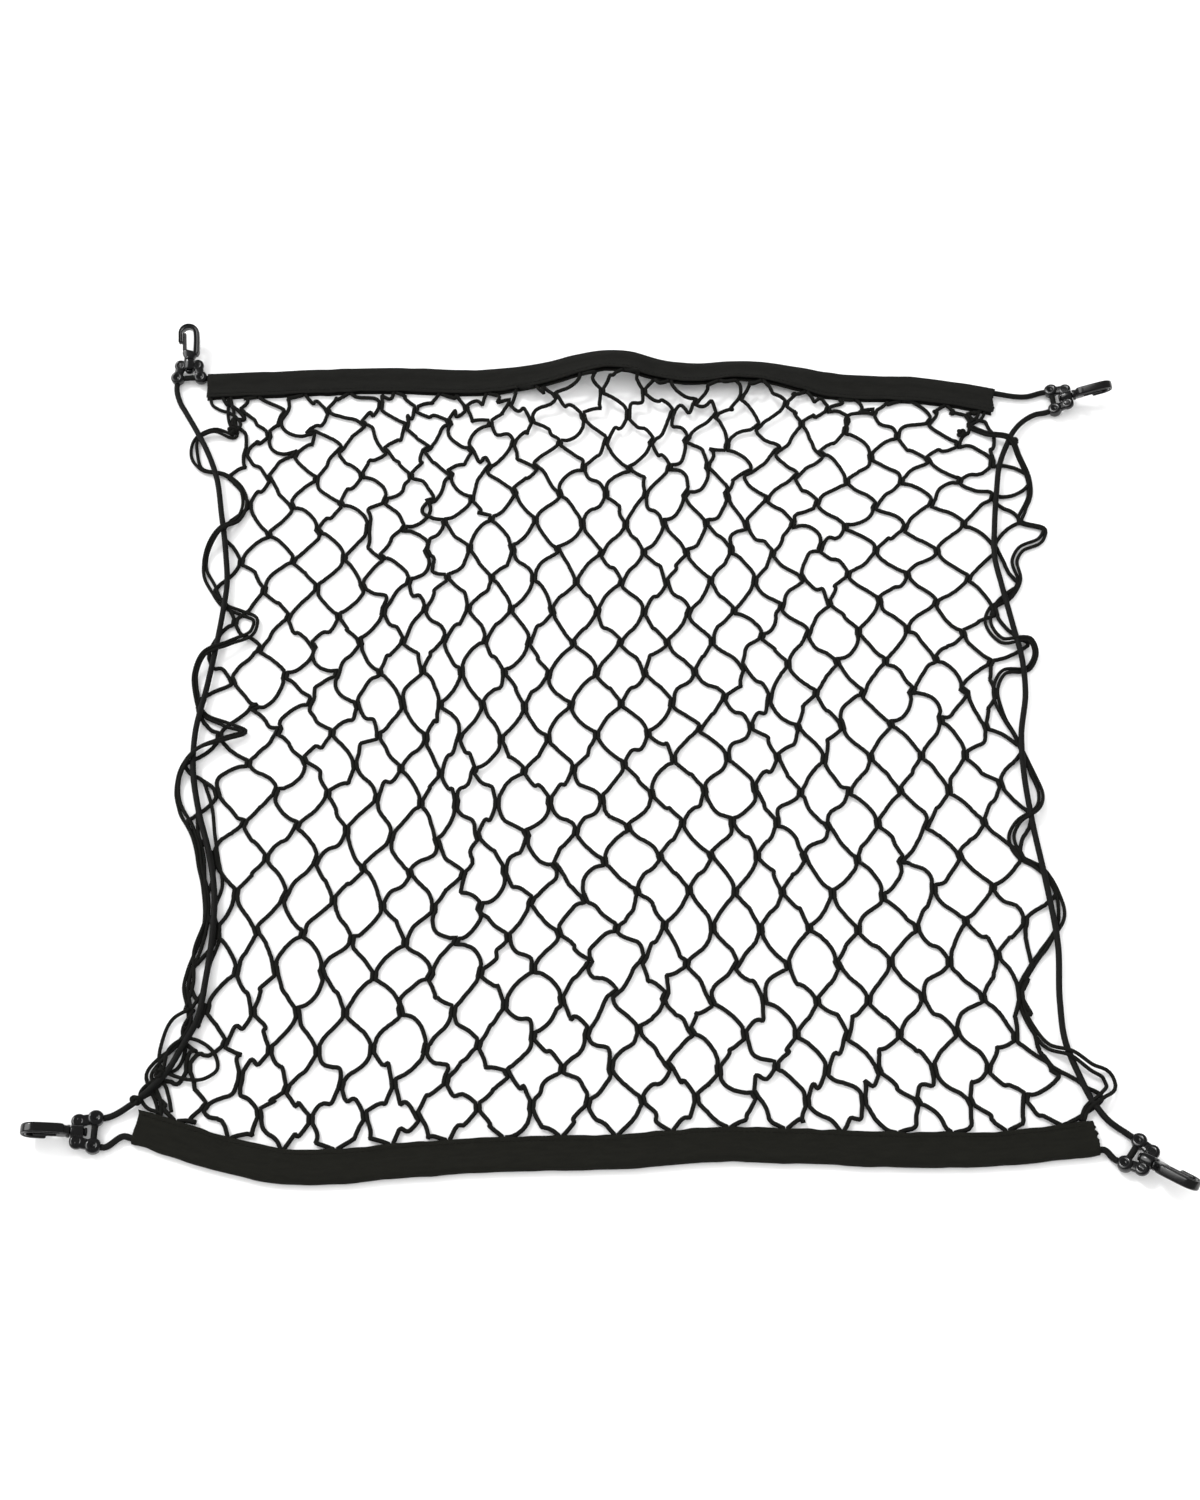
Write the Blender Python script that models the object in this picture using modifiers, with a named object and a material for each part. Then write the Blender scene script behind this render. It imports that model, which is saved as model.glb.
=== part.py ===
"""A black cargo net for a car boot, lying on the floor with its four hooks out.

A knotless net of zigzag cords is held between two folded tape bands. One loop of
elastic runs through the fold of each band, out at the bands' ends, through the two
ears of a hook base at each corner and down each side. A swivel hook with a spring
gate turns in each base. +X is to the right, +Y is away and +Z is up. Sizes and
tables are in millimetres and are turned into metres as the meshes are made.
"""
import math

import bmesh
import bpy
import numpy as np
from mathutils import Matrix, Vector

MM = 0.001
GAP = 0.35              # clearance between neighbouring pieces

# Net: cords side by side, joined to the left and to the right neighbour in turn.
CORDS = 27
ROWS = 21
CORD_HALF = 1.5         # half the width of one cord
JOINT_HALF = 2.5        # half the width where two cords run side by side
CORD_THICK = 3.0
JOINT_LENGTH = 9.0
JITTER = 2.2            # how far a joint strays from its even place
SEED = 7

# Bands: tape folded in two round the elastic, open to the net at its inner edge.
BAND_HALF = 12.75
CLOTH = 1.0
SLOT = 3.2              # between the two layers, where the net's edge is held
EDGE_S = -9.0           # where the net's edge cord lies across the band
MOUTH_S = -14.6         # just outside the slot
EDGE_HALF = 1.2
EDGE_THICK = 1.8
EDGE_STEPS = 3          # straight steps of the edge cord between joints, where it arches
BAND_STEP = 16.0        # between sections along the band that arches up
FLAT_STEP = 20.0        # and along the one that lies flat

ELASTIC_R = 2.4
ELASTIC_IN = 13.0       # how far the elastic reaches into a band
LEAD = 3.0              # how far it runs straight on outside
FOLD_R = ELASTIC_R + 0.55 + CLOTH / 2
FOLD_S = BAND_HALF - CLOTH / 2 - FOLD_R
FOLD_H = CLOTH / 2 + FOLD_R
NET_TOP = CORD_THICK + GAP + ELASTIC_R   # height of the elastic's middle on the net

# Hook base, in its own frame: x along the swivel towards the hook, y across.
EAR = (-11.6, 10.2)
EAR_R = 5.7
EAR_THICK = 7.6
LOBE_Y = 7.5
LOBE_R = 5.4
PLATE_THICK = 5.0
HUB_R = 5.2
HUB_BACK = -4.2
HUB_FRONT = 5.2
BORE_R = 2.75
TURN_R = 6.5            # bend of the elastic inside an ear
LEAVE = (-18.1, 10.8)   # where the elastic leaves an ear, pointing backwards

# Hook, in its own frame: x along the swivel, its back at -y and its nose at +y.
TIP = 40.0
BACK_OUT = -9.1
BACK_IN = -3.9
NOSE_IN = 5.95
NOSE_OUT = 9.35
NOSE_END = 21.0
YOKE = (7.6, 13.3)
HOOK_THICK = 7.0
SHANK_R = 2.3
BUTTON_R = 3.1
COLLAR_R = 4.6
GATE_R = 1.6
GATE_LENGTH = 15.3
GATE_THICK = 5.4
GATE_PIVOT = (YOKE[1] + GAP + GATE_R, NOSE_IN - GAP - GATE_R)

# x, y of the middle line, height of the low edge, tilt with the inner edge up.
BAND_TOP = (
    (-366, 333, 0, 0), (-328, 335, 0, 0), (-195, 340, 0, 0), (-128, 338, 0, 0),
    (-93, 340, 0.5, 6), (-60, 344, 3, 13), (-36, 349, 6, 17), (-12, 352.5, 7.5, 19),
    (8, 351.5, 7, 19), (32, 346, 3.5, 18), (70, 343, 0.8, 18), (100, 346, 0, 22),
    (123, 345.5, 0, 20), (161, 339.5, 0, 8), (185, 334.5, 0, 0), (220, 331.5, 0, 0),
    (258, 330, 0, 0), (295, 324.5, 0, 0), (331, 316.5, 0, 0))
BAND_BOTTOM = (
    (-354, -339.7, 0, 0), (-318, -351, 0, 0), (-285, -361, 0, 0), (-243, -369.5, 0, 0),
    (-204, -369.5, 0, 0), (-167, -365.9, 0, 0), (-98, -361.1, 0, 0), (11, -358, 0, 0),
    (63, -353.5, 0, 0), (114, -354.3, 0, 0), (191, -357.2, 0, 0), (267, -356.5, 0, 0),
    (340, -348.7, 0, 0))

# y, then the line of each side of the net and how far its edge strays from it.
SIDES = (
    (317.5, -357, 0, 320, 0), (273.5, -352, 8, 334, 0), (253.5, -352, -14, 341, 3),
    (226.5, -345, 4, 344, 7), (201.5, -338, 14, 344, -3), (176.5, -334, -2, 340, 15),
    (149.5, -332, -15, 334, -4), (116.5, -329, 0, 326, -2), (87.5, -328, 24, 319, -13),
    (63.5, -329, 4, 319, 16), (33.5, -330, -13, 319, -13), (1.5, -331, 0, 318, -10),
    (-26.5, -333, 24, 318, 2), (-68.5, -334, -14, 320, 8), (-107.5, -326, -3, 317, -12),
    (-138.5, -319, 2, 317, 4), (-170.5, -315, 3, 320, 12), (-210.5, -313, 0, 313, -2),
    (-235.5, -314, 0, 309, -12), (-279.5, -322, 0, 316, -4), (-308.5, -334, 0, 330, 14),
    (-333.5, -345, 0, 332, 0))
STRAY_REACH = 1.6       # columns over which the edge's straying dies out

# Free run of the elastic on each side: x, y and the height of its middle.
LEFT_RUN = (
    (-389.5, 317.5, 3.6), (-381, 301.5, 4.6), (-371, 283.5, NET_TOP), (-359.5, 261.5, NET_TOP),
    (-348.5, 233.5, NET_TOP), (-340.4, 194.5, NET_TOP), (-333, 154.5, NET_TOP),
    (-329, 121.5, NET_TOP), (-329.9, 96.5, NET_TOP), (-332.4, 61.5, NET_TOP),
    (-336, 25.5, NET_TOP), (-341.4, -19.5, NET_TOP), (-339.7, -51.5, NET_TOP),
    (-331.2, -89.5, NET_TOP), (-320, -124.5, NET_TOP), (-312.5, -159.5, NET_TOP),
    (-311, -193.5, NET_TOP), (-312.5, -228.5, NET_TOP), (-316.3, -261.5, NET_TOP),
    (-325, -281.5, NET_TOP), (-334.9, -301.5, NET_TOP), (-346, -314.5, NET_TOP),
    (-358, -325, 4.8))
RIGHT_RUN = (
    (366, 302, 3.6), (355, 294.5, 4.6), (345, 283, NET_TOP), (337, 267.5, NET_TOP),
    (329, 247.5, NET_TOP), (323, 216.5, NET_TOP), (318, 182.5, NET_TOP), (315, 148.5, NET_TOP),
    (317.8, 124.5, NET_TOP), (323.3, 83.5, NET_TOP), (327.5, 51.5, NET_TOP),
    (327, 19.5, NET_TOP), (319.5, -20.5, NET_TOP), (318, -50.5, NET_TOP),
    (319.8, -94.5, NET_TOP), (325, -148.5, NET_TOP), (328.3, -200.5, NET_TOP),
    (324.5, -246.5, NET_TOP), (325, -276.5, NET_TOP), (331.5, -300.5, NET_TOP),
    (340, -322.5, NET_TOP), (349, -335.5, 4.6))

# name, x and y of the swivel, heading, pitch, turn of the hook in its base (degrees).
HOOKS = (
    ("top_left", -383.4, 352.5, 93, 15, 0),
    ("top_right", 393.5, 317, 4, 20, 68),
    ("bottom_left", -392.5, -345, 181, 12, 90),
    ("bottom_right", 372.0, -366.5, -37, 20, 55))


def smooth_rows(rows, at):
    """Every column of a table, read on the cubic curve through its rows."""
    rows = np.array(rows, float)
    key, values = rows[:, 0], rows[:, 1:]
    order = np.argsort(key)
    key, values = key[order], values[order]
    slope = np.gradient(values, key, axis=0)
    at = np.clip(np.atleast_1d(np.asarray(at, float)), key[0], key[-1])
    i = np.clip(np.searchsorted(key, at) - 1, 0, len(key) - 2)
    span = (key[i + 1] - key[i])[:, None]
    t = (at - key[i])[:, None] / span
    start = (1 + 2 * t) * (1 - t) ** 2 * values[i] + t * (1 - t) ** 2 * span * slope[i]
    end = t * t * (3 - 2 * t) * values[i + 1] + t * t * (t - 1) * span * slope[i + 1]
    return start + end


def material(name, colour, roughness):
    """A Principled material with one colour and roughness."""
    made = bpy.data.materials.new(name)
    made.use_nodes = True
    shader = made.node_tree.nodes["Principled BSDF"]
    shader.inputs["Base Color"].default_value = (*colour, 1.0)
    shader.inputs["Roughness"].default_value = roughness
    return made


def collection(name):
    """A new collection in the scene."""
    made = bpy.data.collections.new(name)
    bpy.context.scene.collection.children.link(made)
    return made


def add_object(name, data, group, look=None, place=None):
    """An object for a mesh or curve, in a collection, at a place."""
    thing = bpy.data.objects.new(name, data)
    group.objects.link(thing)
    if look:
        data.materials.append(look)
    if place:
        thing.matrix_world = place
    return thing


def mesh_from(name, work):
    """A mesh datablock from a bmesh, in metres, with its faces pointing out."""
    bmesh.ops.recalc_face_normals(work, faces=work.faces)
    bmesh.ops.scale(work, vec=(MM, MM, MM), verts=work.verts)
    data = bpy.data.meshes.new(name)
    work.to_mesh(data)
    work.free()
    return data


def cylinder(radius, low, high, sides=16, centre=(0, 0), along_x=False):
    """A bmesh cylinder from low to high along Z about a centre, or along X."""
    work = bmesh.new()
    bmesh.ops.create_cone(work, cap_ends=True, segments=sides, radius1=radius,
                          radius2=radius, depth=high - low)
    bmesh.ops.translate(work, vec=(*centre, (low + high) / 2), verts=work.verts)
    if along_x:
        bmesh.ops.rotate(work, cent=(0, 0, 0), verts=work.verts,
                         matrix=Matrix.Rotation(math.radians(90), 3, "Y"))
    return work


def stadium(first, first_r, second, second_r, thick, sides=16):
    """The hull of two upright discs: a plate with round ends."""
    work = bmesh.new()
    for centre, radius in ((first, first_r), (second, second_r)):
        made = bmesh.ops.create_cone(work, cap_ends=True, segments=sides, radius1=radius,
                                     radius2=radius, depth=thick)
        bmesh.ops.translate(work, vec=(*centre, 0), verts=made["verts"])
    bmesh.ops.delete(work, geom=work.faces[:] + work.edges[:], context="EDGES_FACES")
    hull = bmesh.ops.convex_hull(work, input=work.verts)
    spare = {e for e in hull["geom_interior"] + hull["geom_unused"]
             if isinstance(e, bmesh.types.BMVert)}
    bmesh.ops.delete(work, geom=list(spare), context="VERTS")
    return work


def boolean(target, tool, operation):
    """A Boolean modifier that joins or cuts with another object."""
    modifier = target.modifiers.new(operation.title(), "BOOLEAN")
    modifier.operation = operation
    modifier.object = tool
    modifier.solver = "EXACT"


def hide_tool(tool):
    """Mark a cutter or a joined shape as no part of the object."""
    tool.hide_render = True
    tool.display_type = "WIRE"


def as_mesh(name, thing, merge=0.0):
    """The evaluated mesh of an object as a new datablock, its loose caps welded."""
    bpy.context.view_layer.update()
    seen = thing.evaluated_get(bpy.context.evaluated_depsgraph_get())
    data = bpy.data.meshes.new_from_object(seen)
    data.name = name
    if merge:
        work = bmesh.new()
        work.from_mesh(data)
        bmesh.ops.remove_doubles(work, verts=work.verts, dist=merge)
        work.to_mesh(data)
        work.free()
    return data


def joined_mesh(name, shapes, cuts, tools):
    """One mesh from shapes (bmeshes) joined together and then cut by others."""
    solid = add_object(name, mesh_from(name, shapes[0]), tools)
    helpers = []
    for operation, group in (("UNION", shapes[1:]), ("DIFFERENCE", cuts)):
        for work in group:
            helper = add_object(name + "_tool", mesh_from(name + "_tool", work), tools)
            helpers.append(helper)
            boolean(solid, helper, operation)
    data = as_mesh(name, solid)
    for thing in (solid, *helpers):
        bpy.data.objects.remove(thing)
    return data


# Bands

def band_point(rows, fold_side, x, s, h):
    """World point of a band at x: s across towards the fold, h up from its underside."""
    ahead, here = smooth_rows(rows, x + 0.5)[0], smooth_rows(rows, x)[0]
    behind = smooth_rows(rows, x - 0.5)[0]
    run = Vector((1.0, (ahead[0] - behind[0]), 0)).normalized()
    outward = Vector((-run.y, run.x, 0)) * fold_side
    lift, tilt = max(here[1], 0.0), math.radians(max(here[2], 0.0))
    across = outward * math.cos(tilt) - Vector((0, 0, math.sin(tilt)))
    up = outward * math.sin(tilt) + Vector((0, 0, math.cos(tilt)))
    middle = Vector((x, here[0], lift + BAND_HALF * math.sin(tilt)))
    return middle + across * s + up * h


def band_section():
    """Mid line of the cloth: under layer, round fold over the elastic, upper layer."""
    upper = SLOT + CLOTH * 1.5
    turns = [math.radians(a) for a in (-90, -45, 0, 45, 90)]
    fold = [(FOLD_S + FOLD_R * math.cos(a), FOLD_H + FOLD_R * math.sin(a)) for a in turns]
    return [(-BAND_HALF, CLOTH / 2), *fold, (3.6, upper + 0.5), (0.4, upper),
            (-BAND_HALF, upper)]


def make_band(name, rows, fold_side, step, look, parts):
    """A band: its section carried along the middle line, thickened by Solidify."""
    section = band_section()
    length = rows[-1][0] - rows[0][0]
    stations = np.linspace(rows[0][0], rows[-1][0], 1 + round(length / step))
    work = bmesh.new()
    rings = []
    for x in stations:
        points = [band_point(rows, fold_side, x, s, h) for s, h in section]
        rings.append([work.verts.new(p * MM) for p in points])
    for one, two in zip(rings, rings[1:]):
        for i in range(len(section) - 1):
            work.faces.new((one[i], one[i + 1], two[i + 1], two[i]))
    bmesh.ops.recalc_face_normals(work, faces=work.faces)
    data = bpy.data.meshes.new(name)
    work.to_mesh(data)
    work.free()
    thing = add_object(name, data, parts, look)
    thick = thing.modifiers.new("Cloth", "SOLIDIFY")
    thick.thickness = CLOTH * MM
    thick.offset = 0.0
    thick.use_even_offset = True
    return thing


# Net

def net_level(share):
    """Depth of a row below the top edge, 0 to 1: the top rows lie bunched together."""
    return share - 0.045 * math.sin(math.pi * share) ** 2 * (1.5 - share)


def net_place(across, down):
    """Middle of the net at a share across and down: a patch between its four sides."""
    level = net_level(down)
    x_top = SIDES[0][1] + across * (SIDES[0][3] - SIDES[0][1])
    x_low = SIDES[-1][1] + across * (SIDES[-1][3] - SIDES[-1][1])
    top = band_point(BAND_TOP, 1, x_top, MOUTH_S, CLOTH + SLOT / 2)
    low = band_point(BAND_BOTTOM, -1, x_low, MOUTH_S, CLOTH + SLOT / 2)
    y = top.y + level * (low.y - top.y)
    left, left_stray, right, right_stray = smooth_rows(SIDES, y)[0]
    columns = across * (CORDS - 1)
    stray = left_stray * math.exp(-columns / STRAY_REACH)
    stray += right_stray * math.exp(-(CORDS - 1 - columns) / STRAY_REACH)
    lift = max(top.z - CLOTH - SLOT / 2, 0) * math.exp(-level / 0.045)
    return Vector((left + across * (right - left) + stray, y, CORD_THICK / 2 + lift))


def net_graph():
    """Points (x, y, z, half thickness) and edges (a, b, half width) of the net."""
    dice = np.random.default_rng(SEED)
    points, edges, ends = [], [], {}

    def add(place, half):
        points.append((place.x, place.y, place.z, half))
        return len(points) - 1

    last = CORDS - 1
    for row in range(ROWS + 1):
        for k in range(-1, CORDS):
            if (k + row) % 2:
                continue
            side = k in (-1, last)
            across = min(max((k + 0.5) / last, 0.0), 1.0) if not side else float(k == last)
            if row in (0, ROWS):
                rows, fold = ((BAND_TOP, 1), (BAND_BOTTOM, -1))[row == ROWS]
                near = SIDES[-(row == ROWS)]
                x = near[1] + across * (near[3] - near[1])
                height = CLOTH + SLOT / 2
                inside = add(band_point(rows, fold, x, EDGE_S, height), EDGE_THICK / 2)
                mouth = add(band_point(rows, fold, x, MOUTH_S, height), EDGE_THICK / 2)
                edges.append((inside, mouth, CORD_HALF if side else JOINT_HALF))
                ends[k, row] = (mouth, mouth, inside)
                continue
            place = net_place(across, row / ROWS)
            stray = Vector((*dice.uniform(-JITTER, JITTER, 2), 0))
            if side:
                only = add(place + stray * 0.5, CORD_THICK / 2)
                ends[k, row] = (only, only, None)
                continue
            half = Vector((dice.uniform(-1.5, 1.5), JOINT_LENGTH / 2, 0))
            upper = add(place + stray + half, CORD_THICK / 2)
            lower = add(place + stray - half, CORD_THICK / 2)
            edges.append((upper, lower, JOINT_HALF))
            ends[k, row] = (upper, lower, None)
    for (k, row), (_, lower, _) in ends.items():
        for beside in (k - 1, k + 1):
            if row < ROWS and (beside, row + 1) in ends:
                edges.append((lower, ends[beside, row + 1][0], CORD_HALF))
    for row, rows, fold in ((0, BAND_TOP, 1), (ROWS, BAND_BOTTOM, -1)):
        line = [ends[key][2] for key in sorted(key for key in ends if key[1] == row)]
        for a, b in zip(line, line[1:]):
            steps = EDGE_STEPS if row == 0 else 1
            between = np.linspace(points[a][0], points[b][0], steps + 1)[1:-1]
            chain = [a]
            for x in between:
                place = band_point(rows, fold, x, EDGE_S, CLOTH + SLOT / 2)
                chain.append(add(place, EDGE_THICK / 2))
            chain.append(b)
            edges.extend((c, d, EDGE_HALF) for c, d in zip(chain, chain[1:]))
    return points, edges


def graph_loops(points, edges):
    """Walk round every gap of the graph, and round its outside, keeping it on the left."""
    beside = {}
    for a, b, _ in edges:
        beside.setdefault(a, []).append(b)
        beside.setdefault(b, []).append(a)
    for a, around in beside.items():
        x, y = points[a][:2]
        around.sort(key=lambda b: math.atan2(points[b][1] - y, points[b][0] - x))
    todo = {(a, b) for a, around in beside.items() for b in around}
    loops = []
    while todo:
        first = min(todo)
        step, loop = first, []
        while step in todo:
            todo.remove(step)
            loop.append(step[0])
            a, b = step
            around = beside[b]
            step = (b, around[around.index(a) - 1])
        loops.append(loop)
    return loops


def side_point(points, widths, a, b, c):
    """Point beside b, off the edges a-b and b-c by half their widths, on the left."""
    here = np.array(points[b][:2])
    one = here - points[a][:2]
    two = np.array(points[c][:2]) - here
    one_n = np.array((-one[1], one[0])) / np.hypot(*one)
    two_n = np.array((-two[1], two[0])) / np.hypot(*two)
    one_w, two_w = widths[frozenset((a, b))], widths[frozenset((b, c))]
    split = one_n + two_n
    turn = max(split @ split / 2, 0.35)
    off = split * (one_w + two_w) / 2 / turn
    return here + off


def make_net(look, parts):
    """The net: ridge lines above and below its graph, and one side line for each gap."""
    points, edges = net_graph()
    widths = {frozenset((a, b)): w for a, b, w in edges}
    work = bmesh.new()
    top = [work.verts.new((x, y, z + half)) for x, y, z, half in points]
    low = [work.verts.new((x, y, z - half)) for x, y, z, half in points]
    for loop in graph_loops(points, edges):
        count = len(loop)
        side = []
        for i, b in enumerate(loop):
            x, y = side_point(points, widths, loop[i - 1], b, loop[(i + 1) % count])
            side.append(work.verts.new((x, y, points[b][2])))
        for i, b in enumerate(loop):
            j = (i + 1) % count
            c = loop[j]
            work.faces.new((top[b], top[c], side[j], side[i]))
            work.faces.new((side[i], side[j], low[c], low[b]))
    bmesh.ops.triangulate(work, faces=work.faces)
    return add_object("net", mesh_from("net", work), parts, look)


# Hooks and their bases

def hook_frame(x, y, z, heading, pitch, turn=0.0):
    """Frame of a swivel: x along it, raised by pitch, and turned about itself."""
    return (Matrix.Translation(Vector((x, y, z)) * MM)
            @ Matrix.Rotation(math.radians(heading), 4, "Z")
            @ Matrix.Rotation(-math.radians(pitch), 4, "Y")
            @ Matrix.Rotation(-math.radians(turn), 4, "X"))


def base_mesh(tools):
    """A base: hub along X, a lobe on each side of it and a thick ear behind each lobe."""
    shapes = [cylinder(HUB_R, HUB_BACK, HUB_FRONT, 16, along_x=True)]
    for side in (1, -1):
        ear, lobe = (EAR[0], EAR[1] * side), (0, LOBE_Y * side)
        shapes.append(stadium(ear, EAR_R - 1.8, lobe, LOBE_R, PLATE_THICK))
        shapes.append(cylinder(EAR_R, -EAR_THICK / 2, EAR_THICK / 2, 16, ear))
    bore = cylinder(BORE_R, HUB_BACK - 3, HUB_FRONT + 3, 12, along_x=True)
    return joined_mesh("base", shapes, [bore], tools)


def arc(centre, radius, start, end, steps):
    """Points on an arc, from one angle in degrees to another."""
    turns = np.radians(np.linspace(start, end, steps + 1))
    return [(centre[0] + radius * math.cos(a), centre[1] + radius * math.sin(a))
            for a in turns]


def hook_outline():
    """Outline of the flat hook: yoke, gap for the gate, nose, round tip and back."""
    inner_r = (NOSE_IN - BACK_IN) / 2
    outer_r = (NOSE_OUT - BACK_OUT) / 2
    nose_r = (NOSE_OUT - NOSE_IN) / 2
    bend = TIP - outer_r
    inner = arc((bend, (NOSE_IN + BACK_IN) / 2), inner_r, -90, 90, 7)
    nose = arc((NOSE_END + nose_r, NOSE_IN + nose_r), nose_r, 270, 90, 4)
    outer = arc((bend, (NOSE_OUT + BACK_OUT) / 2), outer_r, 90, -90, 12)
    low, high = YOKE
    return [(low, 4.4), (low + 2.8, 6.1), (high, 6.1), (high, BACK_IN), *inner, *nose,
            *outer, (high + 1, BACK_OUT), (low + 2.4, -6.8), (low, -4.4)]


def plate(outline, thick, bevel):
    """A flat outline in X and Y given a thickness, its rims bevelled."""
    work = bmesh.new()
    face = work.faces.new([work.verts.new((x, y, -thick / 2)) for x, y in outline])
    made = bmesh.ops.extrude_face_region(work, geom=[face])
    risen = [e for e in made["geom"] if isinstance(e, bmesh.types.BMVert)]
    bmesh.ops.translate(work, vec=(0, 0, thick), verts=risen)
    rims = [e for e in work.edges if abs(e.verts[0].co.z - e.verts[1].co.z) < thick / 2]
    bmesh.ops.bevel(work, geom=rims, offset=bevel, segments=1, affect="EDGES")
    return work


def shank_mesh(tools):
    """The turned shank: end button, thin neck through the hub, collar and root."""
    button = HUB_BACK - GAP
    collar = HUB_FRONT + GAP
    profile = ((button - 2.0, 0), (button - 2.0, BUTTON_R - 0.5), (button - 1.4, BUTTON_R),
               (button, BUTTON_R), (button, SHANK_R), (collar, SHANK_R), (collar, COLLAR_R),
               (YOKE[0] + 0.4, COLLAR_R - 0.4), (YOKE[0] + 2.0, 2.6), (YOKE[0] + 2.0, 0))
    data = bpy.data.meshes.new("shank")
    data.from_pydata([(x * MM, r * MM, 0) for x, r in profile],
                     [(i, i + 1) for i in range(len(profile) - 1)], [])
    thing = add_object("shank", data, tools)
    turned = thing.modifiers.new("Turned", "SCREW")
    turned.axis = "X"
    turned.steps = turned.render_steps = 12
    turned.use_merge_vertices = True
    turned.merge_threshold = 0.00001
    made = as_mesh("shank", thing)
    bpy.data.objects.remove(thing)
    return made


def hook_mesh(tools):
    """A hook: the flat bent plate joined to its turned shank."""
    work = bmesh.new()
    work.from_mesh(shank_mesh(tools))
    bmesh.ops.remove_doubles(work, verts=work.verts, dist=0.00001)
    bmesh.ops.scale(work, vec=(1 / MM,) * 3, verts=work.verts)
    return joined_mesh("hook", [plate(hook_outline(), HOOK_THICK, 1.1), work], [], tools)


def gate_mesh():
    """A gate about its own hinge: a thin strip with a round root."""
    work = stadium((0, 0), GATE_R, (GATE_LENGTH, 0), GATE_R - 0.15, GATE_THICK, 12)
    return mesh_from("gate", work)


def base_height(data, heading, pitch):
    """Height of the swivel that puts the base's lowest point on the floor, in mm."""
    frame = hook_frame(0, 0, 0, heading, pitch)
    return -min((frame @ v.co).z for v in data.vertices) / MM


# Elastic

def ear_route(frame, first_side, from_side=False):
    """Route through a base: in at one ear, along its back and out at the other."""
    centre = (LEAVE[0], LEAVE[1] - TURN_R)
    turn = arc(centre, TURN_R, 90, 0, 4)
    way_in = [(x, y * first_side) for x, y in turn]
    way_out = [(x, -y * first_side) for x, y in reversed(turn)]
    if from_side:
        way_in = [(EAR[0] + 0.1, 10.5 * first_side), (EAR[0], 5.0 * first_side)]
    local = [*way_in, (EAR[0] + 0.1, 0), *way_out]
    return [tuple((frame @ (Vector((x, y, 0)) * MM)) / MM) for x, y in local]


def smooth_route(points, fine=0.8):
    """Close points on the smooth curve through a route's own points."""
    points = np.array(points, float)
    steps = np.linalg.norm(np.diff(points, axis=0), axis=1)
    along = np.concatenate(([0.0], np.cumsum(steps)))
    at = np.linspace(0, along[-1], int(along[-1] / fine))
    return smooth_rows(np.column_stack((along, points)), at)


def thin_route(dense, straight=14.0, turning=0.4):
    """Keep a point every few diameters, and more where the route turns."""
    kept = [0]
    heading = np.gradient(dense, axis=0)
    heading /= np.linalg.norm(heading, axis=1)[:, None]
    for i in range(1, len(dense) - 1):
        gone = np.linalg.norm(dense[i] - dense[kept[-1]])
        turned = math.acos(np.clip(heading[i] @ heading[kept[-1]], -1, 1))
        if gone > straight or turned > turning:
            kept.append(i)
    return dense[[*kept, len(dense) - 1]]


def tube(name, points, radius):
    """A curve object data: a round tube with closed ends along straight steps."""
    data = bpy.data.curves.new(name, "CURVE")
    data.dimensions = "3D"
    data.bevel_depth = radius * MM
    data.bevel_resolution = 2
    data.use_fill_caps = True
    line = data.splines.new("POLY")
    line.points.add(len(points) - 1)
    for spot, place in zip(line.points, points):
        spot.co = (*(np.array(place) * MM), 1.0)
    return data


def channel_run(rows, fold_side, end):
    """Middle of a band's fold at one end: from inside the band to a little outside it."""
    inward = 1 if end == rows[0][0] else -1
    run = [band_point(rows, fold_side, end + inward * step, FOLD_S, FOLD_H)
           for step in (ELASTIC_IN, 7, 1)]
    run.append(run[2] + (run[2] - run[1]).normalized() * LEAD)
    return [tuple(place) for place in run]


def elastic_routes(frames):
    """The two stretches outside the bands, from a top band end to a bottom one."""
    top_left = channel_run(BAND_TOP, 1, BAND_TOP[0][0])
    top_right = channel_run(BAND_TOP, 1, BAND_TOP[-1][0])
    low_left = channel_run(BAND_BOTTOM, -1, BAND_BOTTOM[0][0])
    low_right = channel_run(BAND_BOTTOM, -1, BAND_BOTTOM[-1][0])
    left = [*top_left, *ear_route(frames["top_left"], -1, True), *LEFT_RUN,
            *ear_route(frames["bottom_left"], -1), *reversed(low_left)]
    right = [*top_right, (360, 321.9, 3.4), *ear_route(frames["top_right"], 1),
             *RIGHT_RUN, *ear_route(frames["bottom_right"], 1), *reversed(low_right)]
    return {"elastic_left": left, "elastic_right": right}


def make_hooks(plastic, parts, tools):
    """Bases, hooks and gates at the four corners; returns the bases' frames."""
    base, hook, gate = base_mesh(tools), hook_mesh(tools), gate_mesh()
    for data in (hook, gate):
        data.materials.append(plastic)
    frames = {}
    for name, x, y, heading, pitch, turn in HOOKS:
        z = base_height(base, heading, pitch)
        frames[name] = hook_frame(x, y, z, heading, pitch)
        add_object("base_" + name, base.copy(), parts, plastic, frames[name])
        place = hook_frame(x, y, z, heading, pitch, turn)
        add_object("hook_" + name, hook, parts, None, place)
        pivot = Matrix.Translation(Vector((*GATE_PIVOT, 0)) * MM)
        add_object("gate_" + name, gate, parts, None, place @ pivot)
    return frames


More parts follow.
